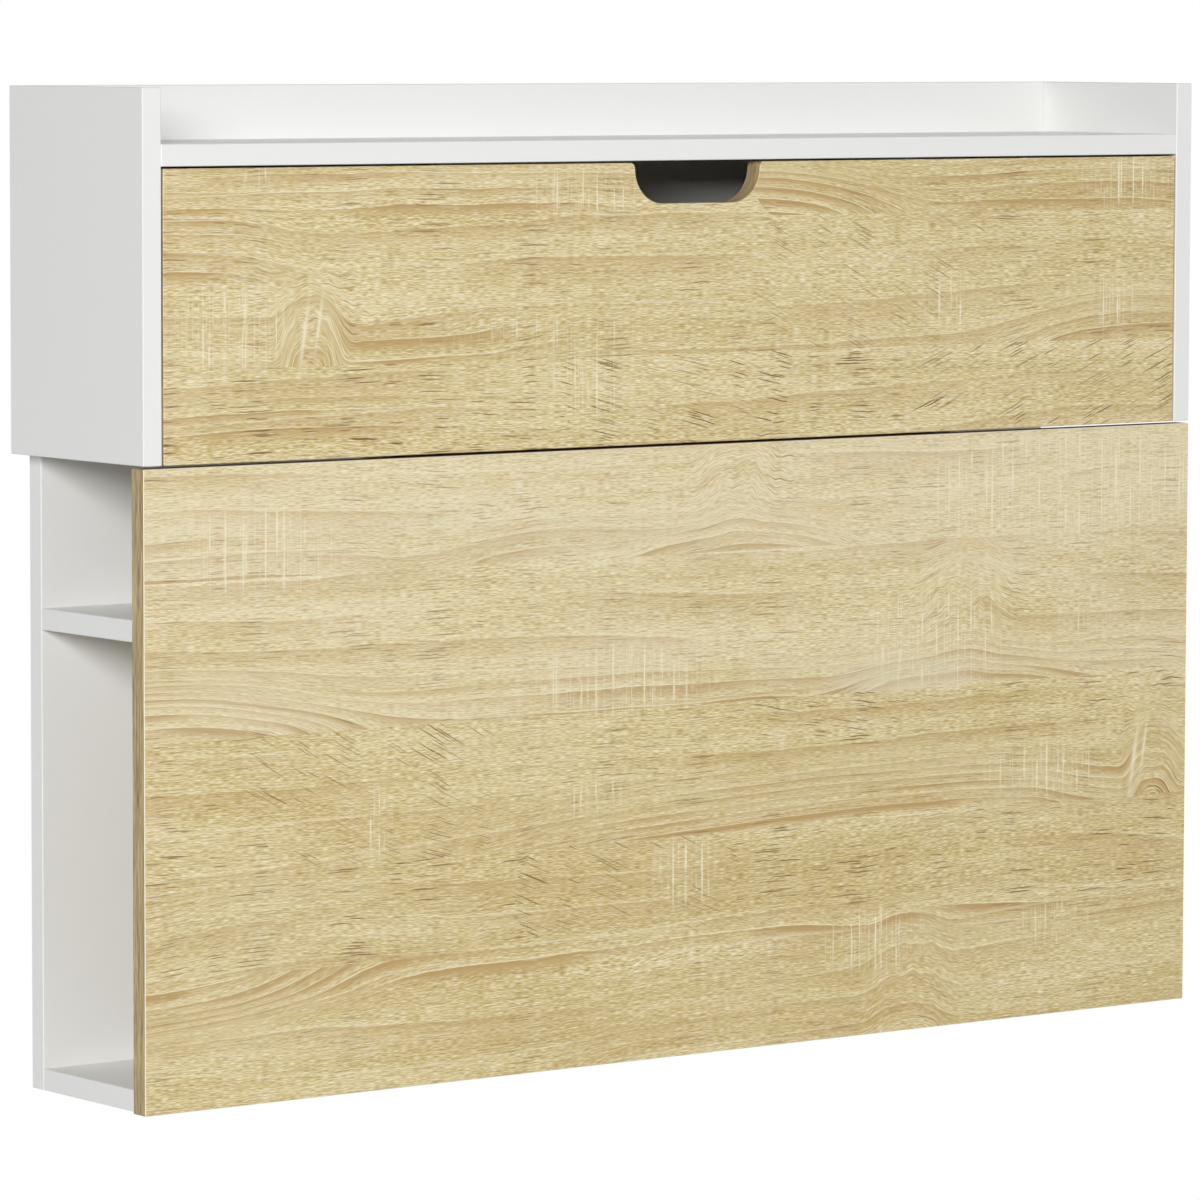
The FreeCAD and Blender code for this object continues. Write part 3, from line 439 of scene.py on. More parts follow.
# What makes the wood paler and darker.
MIDDLE_TONE = 0.51
PATCHES = Layer(230, 62, 2, 7, 0.28)
GRAIN_LAYERS = (
    Layer(420, 13, 0, 8, 0.3),       # broad bands
    Layer(190, 3.8, 0, 9, 0.08),     # narrow bands
    Layer(50, 0.9, 0, 10, 0.3),      # streaks
    Layer(18, 0.7, 0, 11, 0.7),      # long hairs
    Layer(5.5, 0.4, 0, 17, 1.3),     # short hairs
)

# Rings: their spacing, the reach of one along x, the least strength of one, their seed, and how strongly
# their late wood and their pale edge show.
Rings = namedtuple("Rings", "spacing reach least seed shade line")
SWELL_RINGS = Rings(12, 150, 0.45, 12, 1.4, 0.7)
STILL_RINGS = Rings(27, 260, 0.1, 15, 0.4, 0.25)   # faint wide stripes of still grain
STILL_SHARE = 0.04         # of the swells' rings, that still grain shows
RING_DRIFT = 1.2           # rings, by which their count wanders
DRIFT_REACH = (420, 4)     # of that wandering: millimetres along, rings across
RING_FULL = 1.25           # strength of the strongest ring
RINGS_ALIKE = 1 / 0.71     # reach across, in rings, of what makes some strong and others weak

# Slim dashes: length and height, share of the places that hold one, seed and strength.
Dash = namedtuple("Dash", "length height share seed strength")
PORE_DASHES = (Dash(30, 1.1, 0.35, 14, 1), Dash(15, 0.9, 0.35, 24, 0.9), Dash(7, 0.7, 0.4, 34, 0.25))
PALE_DASHES = (Dash(30, 0.8, 0.4, 44, 0.35), Dash(7, 0.8, 0.3, 54, 0.4))
DASH_FIT = 0.4             # of the cell that holds a dash, its length and its height
CROWDING = Layer(95, 38, 1, 13)
SPARSE, CROWDED = 0.5, 1.3   # strength of pore dashes where they are few and where they are many
PORE_SHADE = 0.9
LEAN_FROM = 0.5            # strength of a swell from which its dashes climb

GREY_PATCHES = 0.8         # how strongly the pale patches are greyed
GREY_FROM = 0.52           # paleness of a patch from which it greys
GREY_WEDGE = (190, -74, 62, 13)   # centre x and z, reach along x and z
GREY_SHADE = 0.6
# Knots' pale upright streaks: centre x and z, reach along x and z.
KNOT_STREAKS = ((418, -148, 2.0, 22), (428, -140, 1.4, 18), (-339, 190, 1.8, 22), (-327, 196, 1.3, 17))
STREAK_LEAN = 0.16         # to the right, of its height
STREAK_SHADE = 0.8

# Saw marks stand in clusters: centre x and z, reach along x and z, strength.
SAW_MARKS = (
    (-375, 44, 62, 30, 1.0), (300, 62, 90, 34, 1.0), (410, 60, 80, 34, 1.0), (-65, -62, 80, 24, 1.0),
    (225, -48, 72, 36, 1.0), (375, -38, 30, 16, 0.8), (-277, -150, 12, 26, 0.9), (-88, -146, 36, 18, 0.7),
    (330, -152, 56, 22, 0.9), (-8, -204, 34, 26, 0.9), (165, -268, 50, 24, 0.9), (340, -268, 44, 20, 0.7),
    (-400, 194, 50, 28, 1.0), (-378, 296, 14, 9, 0.9), (-98, 284, 48, 18, 1.0), (-100, 146, 40, 26, 0.8),
    (405, 286, 44, 20, 0.9), (392, 198, 26, 26, 0.8), (232, 198, 30, 26, 0.7), (-140, 188, 150, 16, 0.45),
)
# Saw strokes: their spacing, half width as a share of it, what breaks them up, and strength.
Stroke = namedtuple("Stroke", "spacing width breaks strength")
SAW_STROKES = (Stroke(10.5, 0.07, Layer(2.6, 38, 1, 4), 1), Stroke(4.4, 0.11, Layer(2.6, 18, 1, 5), 0.5))
STROKE_STEP = 40           # between the stretches of random spacing that two kinds of strokes take
SAW_WEAVE = Layer(4.5, 1.1, 0, 6, 0.25)   # short faint marks between the strokes
SAW_SHADE = 0.7

EDGE_LAYERS = (Layer(60, 1.6, 1, 21, 1.5), Layer(11, 0.9, 0, 22, 0.8))   # lines of the edge band
# How squarely a surface faces along Y or Z, from 0 to 1.
FACE_FROM = 0.5            # along Y, on a board's faces
LEVEL_FROM = 0.6           # along Z, on its upper and lower edge
# the broken edges between these facings get the painted highlight of the edge line, on the panel only
BROKEN_BETWEEN = (0.3, 0.95)   # along Y, on the broken edges round its faces


def spot(r, x, z, centre_x, centre_z, reach_x, reach_z, flat=False):
    """Give a spot, 1 at its centre, with a round top or a flat one."""
    off_centre = r.node("ShaderNodeVectorMath", {"operation": "MULTIPLY_ADD"}, {
        0: r.join(x, z),
        1: (1 / reach_x, 1 / reach_z, 0),
        2: (-centre_x / reach_x, -centre_z / reach_z, 0),
    })
    square = r.node("ShaderNodeVectorMath", {"operation": "DOT_PRODUCT"}, {0: off_centre, 1: off_centre},
                    "Value")
    fall = square * square if flat else square
    return r.math("POWER", math.exp(-1), fall)


def plank_masks(x, z):
    """Give, for each plank, 1 inside it and 0 outside."""
    start, end, climb = HALF_SEAM
    above = [z > plank.low for plank in PLANKS[1:-1]]
    above.append(z - climb * (1 - x.rise(start, end)) > PLANKS[-1].low)
    return [1 - above[0], *(lower - upper for lower, upper in zip(above, above[1:])), above[-1]]


def per_plank(masks, field):
    """Give one of the planks' numbers at each place."""
    return total([mask * getattr(plank, field) for plank, mask in zip(PLANKS, masks)])


def grain_fields(r, x, z, masks):
    """Work out two heights of the grain, of its bands and of its dashes, and how its rings show."""
    zigzag = total([spot(r, x, z, *place) for place in ZIGZAGS])
    jitter = r.layer(x, z, JITTER).swing(JITTER.strength + ZIGZAG_JITTER * zigzag)
    lifts, leans, rings = [r.shift(x, z, SWAY), r.shift(x, z, RIPPLE), jitter], [], []
    for number, (plank, inside) in enumerate(zip(PLANKS, masks)):
        lift, lean, ringed = [plank.slope * x + PLANK_SHIFT * number], [], [STILL_SHARE]
        for swell in plank.swells:
            here = spot(r, x, z, swell.x, swell.z, swell.reach_x, swell.reach_z, flat=True)
            if swell.lift:
                lift.append(here * swell.lift)
            if swell.climb:
                lean.append((here > LEAN_FROM) * (swell.climb * (x - swell.x)))
            if swell.rings:
                ringed.append(here * swell.rings)
        lifts.append(inside * total(lift))
        rings.append(inside * total(ringed))
        if lean:
            leans.append(inside * total(lean))
    bands = z - total(lifts)
    return bands, bands - total(leans), total(rings).clamped()


def saw_marks(r, x, z):
    """Give pale upright strokes that a saw left, in clusters."""
    clusters = total([strength * spot(r, x, z, *place) for *place, strength in SAW_MARKS]).clamped()
    marks = [r.layer(x, z, SAW_WEAVE).rise(0.5, 0.68) * SAW_WEAVE.strength]
    for number, stroke in enumerate(SAW_STROKES):
        off_line = r.node("ShaderNodeTexVoronoi", {"voronoi_dimensions": "1D", "feature": "F1"}, {
            "W": x / stroke.spacing + STROKE_STEP * number, "Scale": 1, "Randomness": 1}, "Distance")
        on_line = 1 - off_line.rise(stroke.width * 0.4, stroke.width * 1.6)
        unbroken = r.layer(x, z, stroke.breaks).rise(0.42, 0.58)
        marks.append(on_line * unbroken * stroke.strength)
    return total(marks) * clusters.rise(0.14, 0.7)


def ring_lines(r, x, bands, rings):
    """Give the late wood of rings, dark up to a sharp upper edge, and the pale line along that edge."""
    drift_along, drift_across = DRIFT_REACH
    drift = r.layer(x, bands, Layer(drift_along, drift_across * rings.spacing, 0, rings.seed))
    count = bands / rings.spacing + RING_DRIFT * drift
    across = count.math("FRACT")
    own = r.layer(x, count.math("FLOOR"), Layer(rings.reach, RINGS_ALIKE, 0, rings.seed + 1))
    weight = rings.least + (RING_FULL - rings.least) * own.rise(0.4, 0.64)
    darkening = 0.7 * across.rise(0.15, 0.95) + 0.3 * across.rise(0.86, 0.93)
    return darkening * (1 - across.rise(0.97, 1.0)) * weight, (1 - across.rise(0.01, 0.09)) * weight


def dashes(r, x, grain, kind):
    """Give slim dashes along the grain."""
    where = r.join(x * (DASH_FIT / kind.length) + SEED_STEP[0] * kind.seed,
                   grain * (DASH_FIT / kind.height))
    cell = r.node("ShaderNodeTexVoronoi", {"voronoi_dimensions": "2D", "feature": "F1"},
                  {"Vector": where, "Scale": 1, "Randomness": 1}).socket.node
    off_centre = Value(r, cell.outputs["Distance"])
    chance, depth, _ = r.split(Value(r, cell.outputs["Color"]))
    there = (1 - off_centre.rise(0.1, 0.22)) * (chance < kind.share)
    return there * (0.5 + 0.5 * depth) * kind.strength


def laminate_face(r, x, z, look):
    """Draw the printed oak: give its colour and how deep its dashes are."""
    masks = plank_masks(x, z)
    bands, leaning, ringed = grain_fields(r, x, z, masks)
    patches = r.layer(x, z, PATCHES)
    level = total([MIDDLE_TONE + per_plank(masks, "tone"), patches.swing(PATCHES.strength),
                   *(r.shift(x, bands, layer) for layer in GRAIN_LAYERS)])
    colour = r.node("ShaderNodeValToRGB", {"stops": (
        (0.0, look.darkest), (0.28, look.dark), (0.5, look.middle), (0.72, look.pale), (1.0, look.palest),
    )}, {"Fac": level.clamped()})

    late, late_line = ring_lines(r, x, bands, SWELL_RINGS)
    stripe, stripe_line = ring_lines(r, x, bands, STILL_RINGS)
    browned = (SWELL_RINGS.shade * ringed * late).most(STILL_RINGS.shade * stripe)
    colour = r.blend(browned.clamped(), colour, look.late_wood)
    grey = total([per_plank(masks, "grey"), GREY_PATCHES * (patches - GREY_FROM),
                  spot(r, x, z, *GREY_WEDGE, flat=True)])
    colour = r.blend(grey.clamped() * GREY_SHADE, colour, look.greyed)

    crowd = SPARSE + (CROWDED - SPARSE) * r.layer(x, z, CROWDING).rise(0.4, 0.62)
    pores = strongest([dashes(r, x, leaning, kind) for kind in PORE_DASHES])
    pores = pores * crowd * per_plank(masks, "dashes")
    colour = r.blend((pores * PORE_SHADE).clamped(), colour, look.pore)

    streaks = total([spot(r, x - STREAK_LEAN * (z - place[1]), z, *place) for place in KNOT_STREAKS])
    pale = strongest([
        *(dashes(r, x, bands, kind) for kind in PALE_DASHES),
        ringed * late_line * SWELL_RINGS.line,
        stripe_line * STILL_RINGS.line,
        saw_marks(r, x, z) * SAW_SHADE,
        streaks.clamped() * STREAK_SHADE,
    ])
    return r.blend(pale.clamped(), colour, look.palest), pores


def oak(look):
    """Make the oak faced board: printed faces, banded edges and, on the panel, a near-white painted
    highlight along its broken edges.
    """
    r = new_recipe("oak_laminate")
    (x, y, z), (_, facing_y, facing_z) = r.coordinates()
    face, pores = laminate_face(r, x + INNER_SHIFT * (facing_y > FACE_FROM), z, look)
    along = z + (x - z) * (abs(facing_z) > LEVEL_FROM)
    edge = r.tinted(look.edge, 1 + total([r.shift(along, y, layer) for layer in EDGE_LAYERS]))
    square_on = abs(facing_y)
    least, most = BROKEN_BETWEEN
    on_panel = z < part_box("flap_door")[0].z / MM
    colour = r.blend(square_on > FACE_FROM, edge, face)
    # paint the near-white highlight of the edge line onto the panel's broken edges
    colour = r.blend((square_on > least) * (square_on < most) * on_panel, colour, look.edge_highlight)
    emboss = r.noise((x, y, z), reach=(16, 3, 0.9), detail=1)
    return r.surface(Base_Color=colour, Roughness=look.roughness + 0.1 * pores + emboss.swing(0.2),
                     IOR=1.46, Normal=r.bump(emboss, look.relief))


# ---------------------------------------------------------------- metal, plastic, nylon and magnets
def zinc_steel(look):
    """Make zinc plated steel with a soft cloud and fine rolling lines."""
    r = new_recipe("zinc_steel")
    place, _ = r.coordinates()
    cloud = r.noise(place, reach=(9, 9, 9), detail=3)
    lines = r.noise(place, reach=(0.25, 5, 5))
    return r.surface(Base_Color=r.tinted(look.zinc, 0.9 + 0.22 * cloud), Metallic=1.0,
                     Roughness=0.3 + 0.14 * cloud + 0.06 * lines,
                     Normal=r.bump(lines, distance=0.01 * MM, strength=0.4))


def moulded(name, colour, roughness, spread):
    """Make a moulded plastic with a fine spark-eroded texture."""
    r = new_recipe(name)
    place, _ = r.coordinates()
    grain = r.noise(place, reach=(0.4, 0.4, 0.4))
    cloud = r.noise(place, reach=(12, 12, 12))
    return r.surface(Base_Color=r.tinted(colour, 1 + cloud.swing(2 * spread)),
                     Roughness=roughness + grain.swing(0.1), Normal=r.bump(grain, distance=0.02 * MM))


def magnet(look):
    """Make a dark sintered magnet, faintly speckled."""
    r = new_recipe("dark_magnet")
    place, _ = r.coordinates()
    specks = r.noise(place, reach=(0.5, 0.5, 0.5), detail=3)
    return r.surface(Base_Color=r.tinted(look.magnet, 0.8 + 0.4 * specks), Metallic=0.35,
                     Roughness=0.45 + specks.swing(0.2), Normal=r.bump(specks, distance=0.03 * MM))


# ---------------------------------------------------------------- dressing the solids
def slot_of(node):
    """Give the record's slot of a solid, which its imported material is named after."""
    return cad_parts[node].material_slots[0].name.split(".")[0]


def dress(slot, material):
    """Give a material to every solid of one slot."""
    MATERIAL_OF_SLOT[slot] = material
    dressed = 0
    for node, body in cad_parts.items():
        if slot_of(node) == slot:
            for holder in body.material_slots:
                holder.material = material
            dressed += 1
    if not dressed:
        raise RuntimeError(f"no solid has the slot {slot}")


# ---------------------------------------------------------------- fittings in mesh code
HEAD_CELLS = 8          # cells each way across a head, before it is rounded
FLAT_SHARE = 0.86       # the head's flat, of its radius
FLAT_FALL = 0.5         # from the flat's middle to its edge, of the dome
RIM_LEVEL = 0.16        # height of the rim, of the dome
CROSS_ARM = 0.26        # half the width of the cross, of the head's flat
CROSS_REACH = 0.76      # half the length of the cross, of the head's flat
CROSS_TAPER = 0.9       # the foot of the cross, of its mouth
CROSS_SUNK = 0.35       # depth of the cross at most, of the head's radius
CROSS_IN_DOME = 0.8     # and of the dome
HEAD_TURN = 37          # degrees from one head to the next, since no two are driven home alike


def screw_head(radius, dome):
    """Draw a cross-recessed head, facing +Z from the plane it sits on."""
    shape = bmesh.new()
    bmesh.ops.create_grid(shape, x_segments=HEAD_CELLS, y_segments=HEAD_CELLS, size=1)
    cross = []
    for cell in shape.faces:
        u, v = (abs(share) for share in cell.calc_center_median().xy)
        if min(u, v) < CROSS_ARM and max(u, v) < CROSS_REACH:
            cross.append(cell)
    for corner in shape.verts:   # round the square off into a disc
        u, v = corner.co.xy
        disc = Vector((u * math.sqrt(1 - v * v / 2), v * math.sqrt(1 - u * u / 2)))
        corner.co = (*(disc * FLAT_SHARE * radius), dome * (1 - FLAT_FALL * disc.length_squared))
    rim = [edge for edge in shape.edges if edge.is_boundary]
    for share, level in ((1 / FLAT_SHARE, RIM_LEVEL * dome), (1, 0)):
        made = bmesh.ops.extrude_edge_only(shape, edges=rim)["geom"]
        corners = [item for item in made if isinstance(item, bmesh.types.BMVert)]
        for corner in corners:
            corner.co = (*(corner.co.xy * share), level)
        rim = [item for item in made if isinstance(item, bmesh.types.BMEdge)]
    bmesh.ops.contextual_create(shape, geom=rim)
    sunk = bmesh.ops.extrude_face_region(shape, geom=cross)["geom"]
    bmesh.ops.delete(shape, geom=cross, context="FACES_ONLY")
    for corner in (item for item in sunk if isinstance(item, bmesh.types.BMVert)):
        corner.co.xy *= CROSS_TAPER
        corner.co.z -= min(CROSS_SUNK * radius, CROSS_IN_DOME * dome)
    bmesh.ops.recalc_face_normals(shape, faces=shape.faces)
    return shape


def facing(direction):
    """Give the turn that points a piece drawn facing +Z along a direction."""
    return Vector(direction).to_track_quat("Z", "Y").to_matrix().to_4x4()


def set_heads(name, body, radius, dome, places, direction):
    """Set like zinc plated heads at places on a surface that faces a direction, as one piece."""
    head = screw_head(radius, dome)
    pattern = bpy.data.meshes.new(f"{name}_pattern")
    head.to_mesh(pattern)
    head.free()
    shape = bmesh.new()
    for number, place in enumerate(places):
        count = len(shape.verts)
        shape.from_mesh(pattern)
        shape.verts.ensure_lookup_table()
        spun = Matrix.Rotation(math.radians(HEAD_TURN * number), 4, "Z")
        bmesh.ops.transform(shape, matrix=Matrix.Translation(place) @ facing(direction) @ spun,
                            verts=shape.verts[count:])
    bpy.data.meshes.remove(pattern)
    add_piece(name, shape, body, "zinc_steel")


def add_piece(name, shape, body, slot):
    """Turn a bmesh into a piece that rides on a body."""
    mesh = bpy.data.meshes.new(name)
    shape.to_mesh(mesh)
    shape.free()
    piece = bpy.data.objects.new(name, mesh)
    bpy.context.scene.collection.objects.link(piece)
    mesh.materials.append(MATERIAL_OF_SLOT[slot])
    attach(piece, body)


def both(number):
    """Give a number's opposite, and the number."""
    return -number, number


def part_way(low, high, share):
    """Give the number that is a share of the way from low to high."""
    return low + share * (high - low)


def middle_of(numbers):
    """Give the number halfway between the least and the greatest."""
    return (min(numbers) + max(numbers)) / 2


# ---------------------------------------------------------------- operators
SIDES = (("left", -1), ("right", 1))
LEAVES = (("desk", "desk_leaf"), ("flap", "flap"))   # each leaf's name in its nodes, and its body

HINGE_SCREW_STEP = 0.36        # from the middle screw to the next, of the hinge's length
MIDDLE_SCREW_INSET = 17 * MM   # in from the leaf's end
OUTER_SCREW_INSET = 9 * MM
BRACKET_FOOT = 2 * MM          # thickness
BRACKET_SCREW_RISE = 0.32      # up and down from the bracket's middle, of its height
BRACKET_SCREW_SHIFT = 0.1      # away from the ear on the outer side, of the bracket's width
CATCH_SCREW_SHARE = 0.8        # a catch screw's radius, of a small screw's
CATCH_DOME_SHARE = 0.6         # and its dome
CATCH_SCREW_BACKS = (20 * MM, 36 * MM)   # behind the mouth of the catch
DESK_CATCH_WIDTH = 12 * MM
FLAP_CATCH_WIDTH = 13 * MM
STRIKE_WIDTH = 9 * MM

CAM_DOME = 0.3 * MM
CAM_SHARES = (0.24, 0.76)      # of the board's depth
# Boards that stand on cam locks, and the ends at which they do: -1 is the left end, 1 the right one.
CAM_ENDS = (("top_board", (-1, 1)), ("cabinet_floor", (-1, 1)), ("shelf_left", (1,)),
            ("shelf_right", (-1,)), ("shelf_centre", (-1, 1)))

CARCASS_DOME = 0.1 * MM
# Where the back board's screws stand behind lying boards, of their length, and behind upright ones.
LYING_SCREWS = (("bottom_board", (0.05, 0.35, 0.65, 0.95)), ("top_board", (0.05, 0.5, 0.95)),
                ("cabinet_floor", (0.05, 0.5, 0.95)), ("shelf_centre", (0.2, 0.8)),
                ("shelf_left", (0.5,)), ("shelf_right", (0.5,)))
UPRIGHT_SCREWS = (("divider_left", (0.2, 0.8)), ("divider_right", (0.2, 0.8)),
                  ("side_panel_left", (0.15, 0.85)), ("side_panel_right", (0.15, 0.85)))
UNDER_SCREWS = (0.25, 0.75)    # under each divider, of its depth


class DressBoards(bpy.types.Operator):
    """Give the white boards their melamine"""
    bl_idname = "walldesk.dress_boards"
    bl_label = "White boards"

    def execute(self, context):
        dress("white_melamine", melamine(context.scene.walldesk_boards))
        return {"FINISHED"}


class DressFronts(bpy.types.Operator):
    """Give the flap and the desk panel their sawn oak laminate"""
    bl_idname = "walldesk.dress_fronts"
    bl_label = "Oak fronts"

    def execute(self, context):
        dress("oak_laminate", oak(context.scene.walldesk_oak))
        return {"FINISHED"}


class DressFittings(bpy.types.Operator):
    """Give the hinges, stays, catches, bushes and magnets their finishes"""
    bl_idname = "walldesk.dress_fittings"
    bl_label = "Fittings' finishes"

    def execute(self, context):
        look = context.scene.walldesk_fittings
        dress("zinc_steel", zinc_steel(look))
        dress("white_plastic", moulded("white_plastic", look.plastic, roughness=0.38, spread=0.01))
        dress("grey_nylon", moulded("grey_nylon", look.nylon, roughness=0.5, spread=0.03))
        dress("dark_magnet", magnet(look))
        return {"FINISHED"}


class HingeScrews(bpy.types.Operator):
    """Set three countersunk screws in each leaf of the desk hinges"""
    bl_idname = "walldesk.hinge_screws"
    bl_label = "Hinge screws"

    def execute(self, context):
        sizes = context.scene.walldesk_sizes
        low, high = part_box("desk_hinge_fixed_leaves")
        outer = high.x - sizes.hinge_length / 2
        step = sizes.hinge_length * HINGE_SCREW_STEP
        insets = ((-step, OUTER_SCREW_INSET), (0, MIDDLE_SCREW_INSET), (step, OUTER_SCREW_INSET))
        spread = [(centre + along, inward) for centre in (-outer, 0, outer) for along, inward in insets]
        top = low.z + sizes.leaf_thickness
        set_heads("fixed_leaf_screws", "root", sizes.screw_radius, sizes.flush_dome,
                  [(x, high.y - inward, top) for x, inward in spread], (0, 0, 1))
        low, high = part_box("desk_hinge_moving_leaves")
        back = low.y + sizes.leaf_thickness
        set_heads("moving_leaf_screws", "desk_leaf", sizes.screw_radius, sizes.flush_dome,
                  [(x, back, high.z - inward) for x, inward in spread], (0, 1, 0))
        return {"FINISHED"}


class BracketScrews(bpy.types.Operator):
    """Set two screws in the foot of each stay bracket"""
    bl_idname = "walldesk.bracket_screws"
    bl_label = "Bracket screws"

    def execute(self, context):
        sizes = context.scene.walldesk_sizes
        for leaf, body in LEAVES:
            places = []
            for side, sign in SIDES:
                low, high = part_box(f"{leaf}_bracket_{side}")
                middle = (low + high) / 2
                inner = middle.x - sign * BRACKET_SCREW_SHIFT * (high.x - low.x)
                rise = BRACKET_SCREW_RISE * (high.z - low.z)
                places += [(inner, low.y + BRACKET_FOOT, middle.z + up) for up in both(rise)]
            set_heads(f"{leaf}_bracket_screws", body, sizes.screw_radius, sizes.screw_dome, places,
                      (0, 1, 0))
        return {"FINISHED"}


class GuideScrews(bpy.types.Operator):
    """Set a flush screw over each spacer of the slotted guides"""
    bl_idname = "walldesk.guide_screws"
    bl_label = "Guide screws"

    def execute(self, context):
        sizes = context.scene.walldesk_sizes
        for leaf, _ in LEAVES:
            for side, sign in SIDES:
                low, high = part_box(f"{leaf}_guide_{side}")
                face = high.x if sign < 0 else low.x
                places = [(face, *middle) for middle in spacer_middles(leaf, sign)]
                set_heads(f"{leaf}_guide_screws_{side}", "root", sizes.screw_radius, sizes.flush_dome,
                          places, (-sign, 0, 0))
        return {"FINISHED"}


def spacer_middles(leaf, sign):
    """Give the middles, as y and z, of the two spacer blocks on one side."""
    corners = [v.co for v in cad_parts[f"{leaf}_guide_spacers"].data.vertices if v.co.x * sign > 0]
    between = middle_of([c.y for c in corners])
    blocks = [c for c in corners if c.y < between], [c for c in corners if c.y > between]
    return [(middle_of([c.y for c in block]), middle_of([c.z for c in block])) for block in blocks]


class CatchScrews(bpy.types.Operator):
    """Set the screws of the magnetic catches and of their strike plates"""
    bl_idname = "walldesk.catch_screws"
    bl_label = "Catch screws"

    def execute(self, context):
        sizes = context.scene.walldesk_sizes
        small = sizes.screw_radius * CATCH_SCREW_SHARE
        dome = sizes.screw_dome * CATCH_DOME_SHARE
        low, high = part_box("desk_catches")
        inner = high.x - DESK_CATCH_WIDTH
        middle = (low.z + high.z) / 2
        for side, sign in SIDES:
            places = [(sign * inner, low.y + back, middle) for back in CATCH_SCREW_BACKS]
            set_heads(f"desk_catch_screws_{side}", "root", small, dome, places, (-sign, 0, 0))
        low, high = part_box("flap_catches")
        places = [(x, low.y + back, low.z)
                  for x in both(high.x - FLAP_CATCH_WIDTH / 2) for back in CATCH_SCREW_BACKS]
        set_heads("flap_catch_screws", "root", small, dome, places, (0, 0, -1))
        for leaf, body in LEAVES:
            low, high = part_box(f"{leaf}_strikes")
            places = [(x, high.y, (low.z + high.z) / 2) for x in both(high.x - STRIKE_WIDTH / 2)]
            set_heads(f"{leaf}_strike_screws", body, small, sizes.flush_dome, places, (0, 1, 0))
        return {"FINISHED"}


class CamLocks(bpy.types.Operator):
    """Set the cam lock faces under the boards that meet the cabinet sides and the dividers"""
    bl_idname = "walldesk.cam_locks"
    bl_label = "Cam locks"

    def execute(self, context):
        sizes = context.scene.walldesk_sizes
        places = []
        for node, ends in CAM_ENDS:
            low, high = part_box(node)
            for end in ends:
                x = (high.x if end > 0 else low.x) - end * sizes.cam_setback
                places += [(x, part_way(low.y, high.y, share), low.z) for share in CAM_SHARES]
        set_heads("cam_locks", "root", sizes.cam_radius, CAM_DOME, places, (0, 0, -1))
        return {"FINISHED"}


class CarcassScrews(bpy.types.Operator):
    """Set the flush carcass screws that come through the back board and up through the bottom board"""
    bl_idname = "walldesk.carcass_screws"
    bl_label = "Carcass screws"

    def execute(self, context):
        sizes = context.scene.walldesk_sizes
        radius = sizes.carcass_screw_radius
        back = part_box("back_board")[1].y
        places = []
        for node, shares in LYING_SCREWS:
            low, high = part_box(node)
            places += [(part_way(low.x, high.x, share), back, (low.z + high.z) / 2) for share in shares]
        for node, shares in UPRIGHT_SCREWS:
            low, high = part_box(node)
            places += [((low.x + high.x) / 2, back, part_way(low.z, high.z, share)) for share in shares]
        set_heads("back_carcass_screws", "root", radius, CARCASS_DOME, places, (0, 1, 0))
        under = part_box("bottom_board")[0].z
        places = []
        for side, _ in SIDES:
            low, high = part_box(f"divider_{side}")
            places += [((low.x + high.x) / 2, part_way(low.y, high.y, share), under)
                       for share in UNDER_SCREWS]
        set_heads("bottom_carcass_screws", "root", radius, CARCASS_DOME, places, (0, 0, -1))
        return {"FINISHED"}


# ---------------------------------------------------------------- studio
SENSOR_WIDTH = 36
# Soft lamps: name, place and size. Their powers are properties of the studio, under the same names.
LAMPS = (("side_lamp", (-4.75, -4.85, 1.82), 1.9), ("front_lamp", (1.5, -3.2, 1.4), 2.2),
         ("rear_lamp", (1.9, 4.3, -0.35), 1.3))
FLOOR_SEGMENTS = 96
FLOOR_FADE = (0.45, 0.98)   # where the floor starts to fade and where it is gone, of its radius
FLOOR_WASH = 0.5            # white that lies over the middle of the floor where it is seen
FLOOR_WHITE = 0.92          # of pure white, linear
FLOOR_MOTTLE = Layer(300, 300, 2, 1, 0.02)


class BuildStudio(bpy.types.Operator):
    """Set up the camera, the floor, the sky and the lamps"""
    bl_idname = "walldesk.build_studio"
    bl_label = "Studio"

    def execute(self, context):
        look = context.scene.walldesk_studio
        context.scene.view_settings.view_transform = "Standard"
        place_camera(context.scene, look)
        lay_floor(look)
        paint_sky(context.scene, look)
        for name, place, size in LAMPS:
            hang_lamp(name, place, size, getattr(look, name))
        return {"FINISHED"}


def place_camera(scene, look):
    """Place the camera by its heading, tilt and roll."""
    camera = bpy.data.objects.new("camera", bpy.data.cameras.new("camera"))
    scene.collection.objects.link(camera)
    camera.data.sensor_width = SENSOR_WIDTH
    camera.data.lens = look.lens
    ahead = Vector((math.sin(look.azimuth) * math.cos(look.elevation),
                    math.cos(look.azimuth) * math.cos(look.elevation), -math.sin(look.elevation)))
    level = Vector((math.cos(look.azimuth), -math.sin(look.azimuth), 0))
    upright = level.cross(ahead)
    right = level * math.cos(look.roll) + upright * math.sin(look.roll)
    up = upright * math.cos(look.roll) - level * math.sin(look.roll)
    turn = Matrix((right, up, -ahead)).transposed().to_4x4()
    camera.matrix_world = Matrix.Translation(look.camera_place) @ turn
    scene.camera = camera


def light_path_white(recipe):
    """Give 1 for rays that show the background itself: from the camera, a gloss or a glass."""
    path = recipe.node("ShaderNodeLightPath").socket.node
    return strongest([Value(recipe, path.outputs[name])
                      for name in ("Is Camera Ray", "Is Glossy Ray", "Is Transmission Ray")])


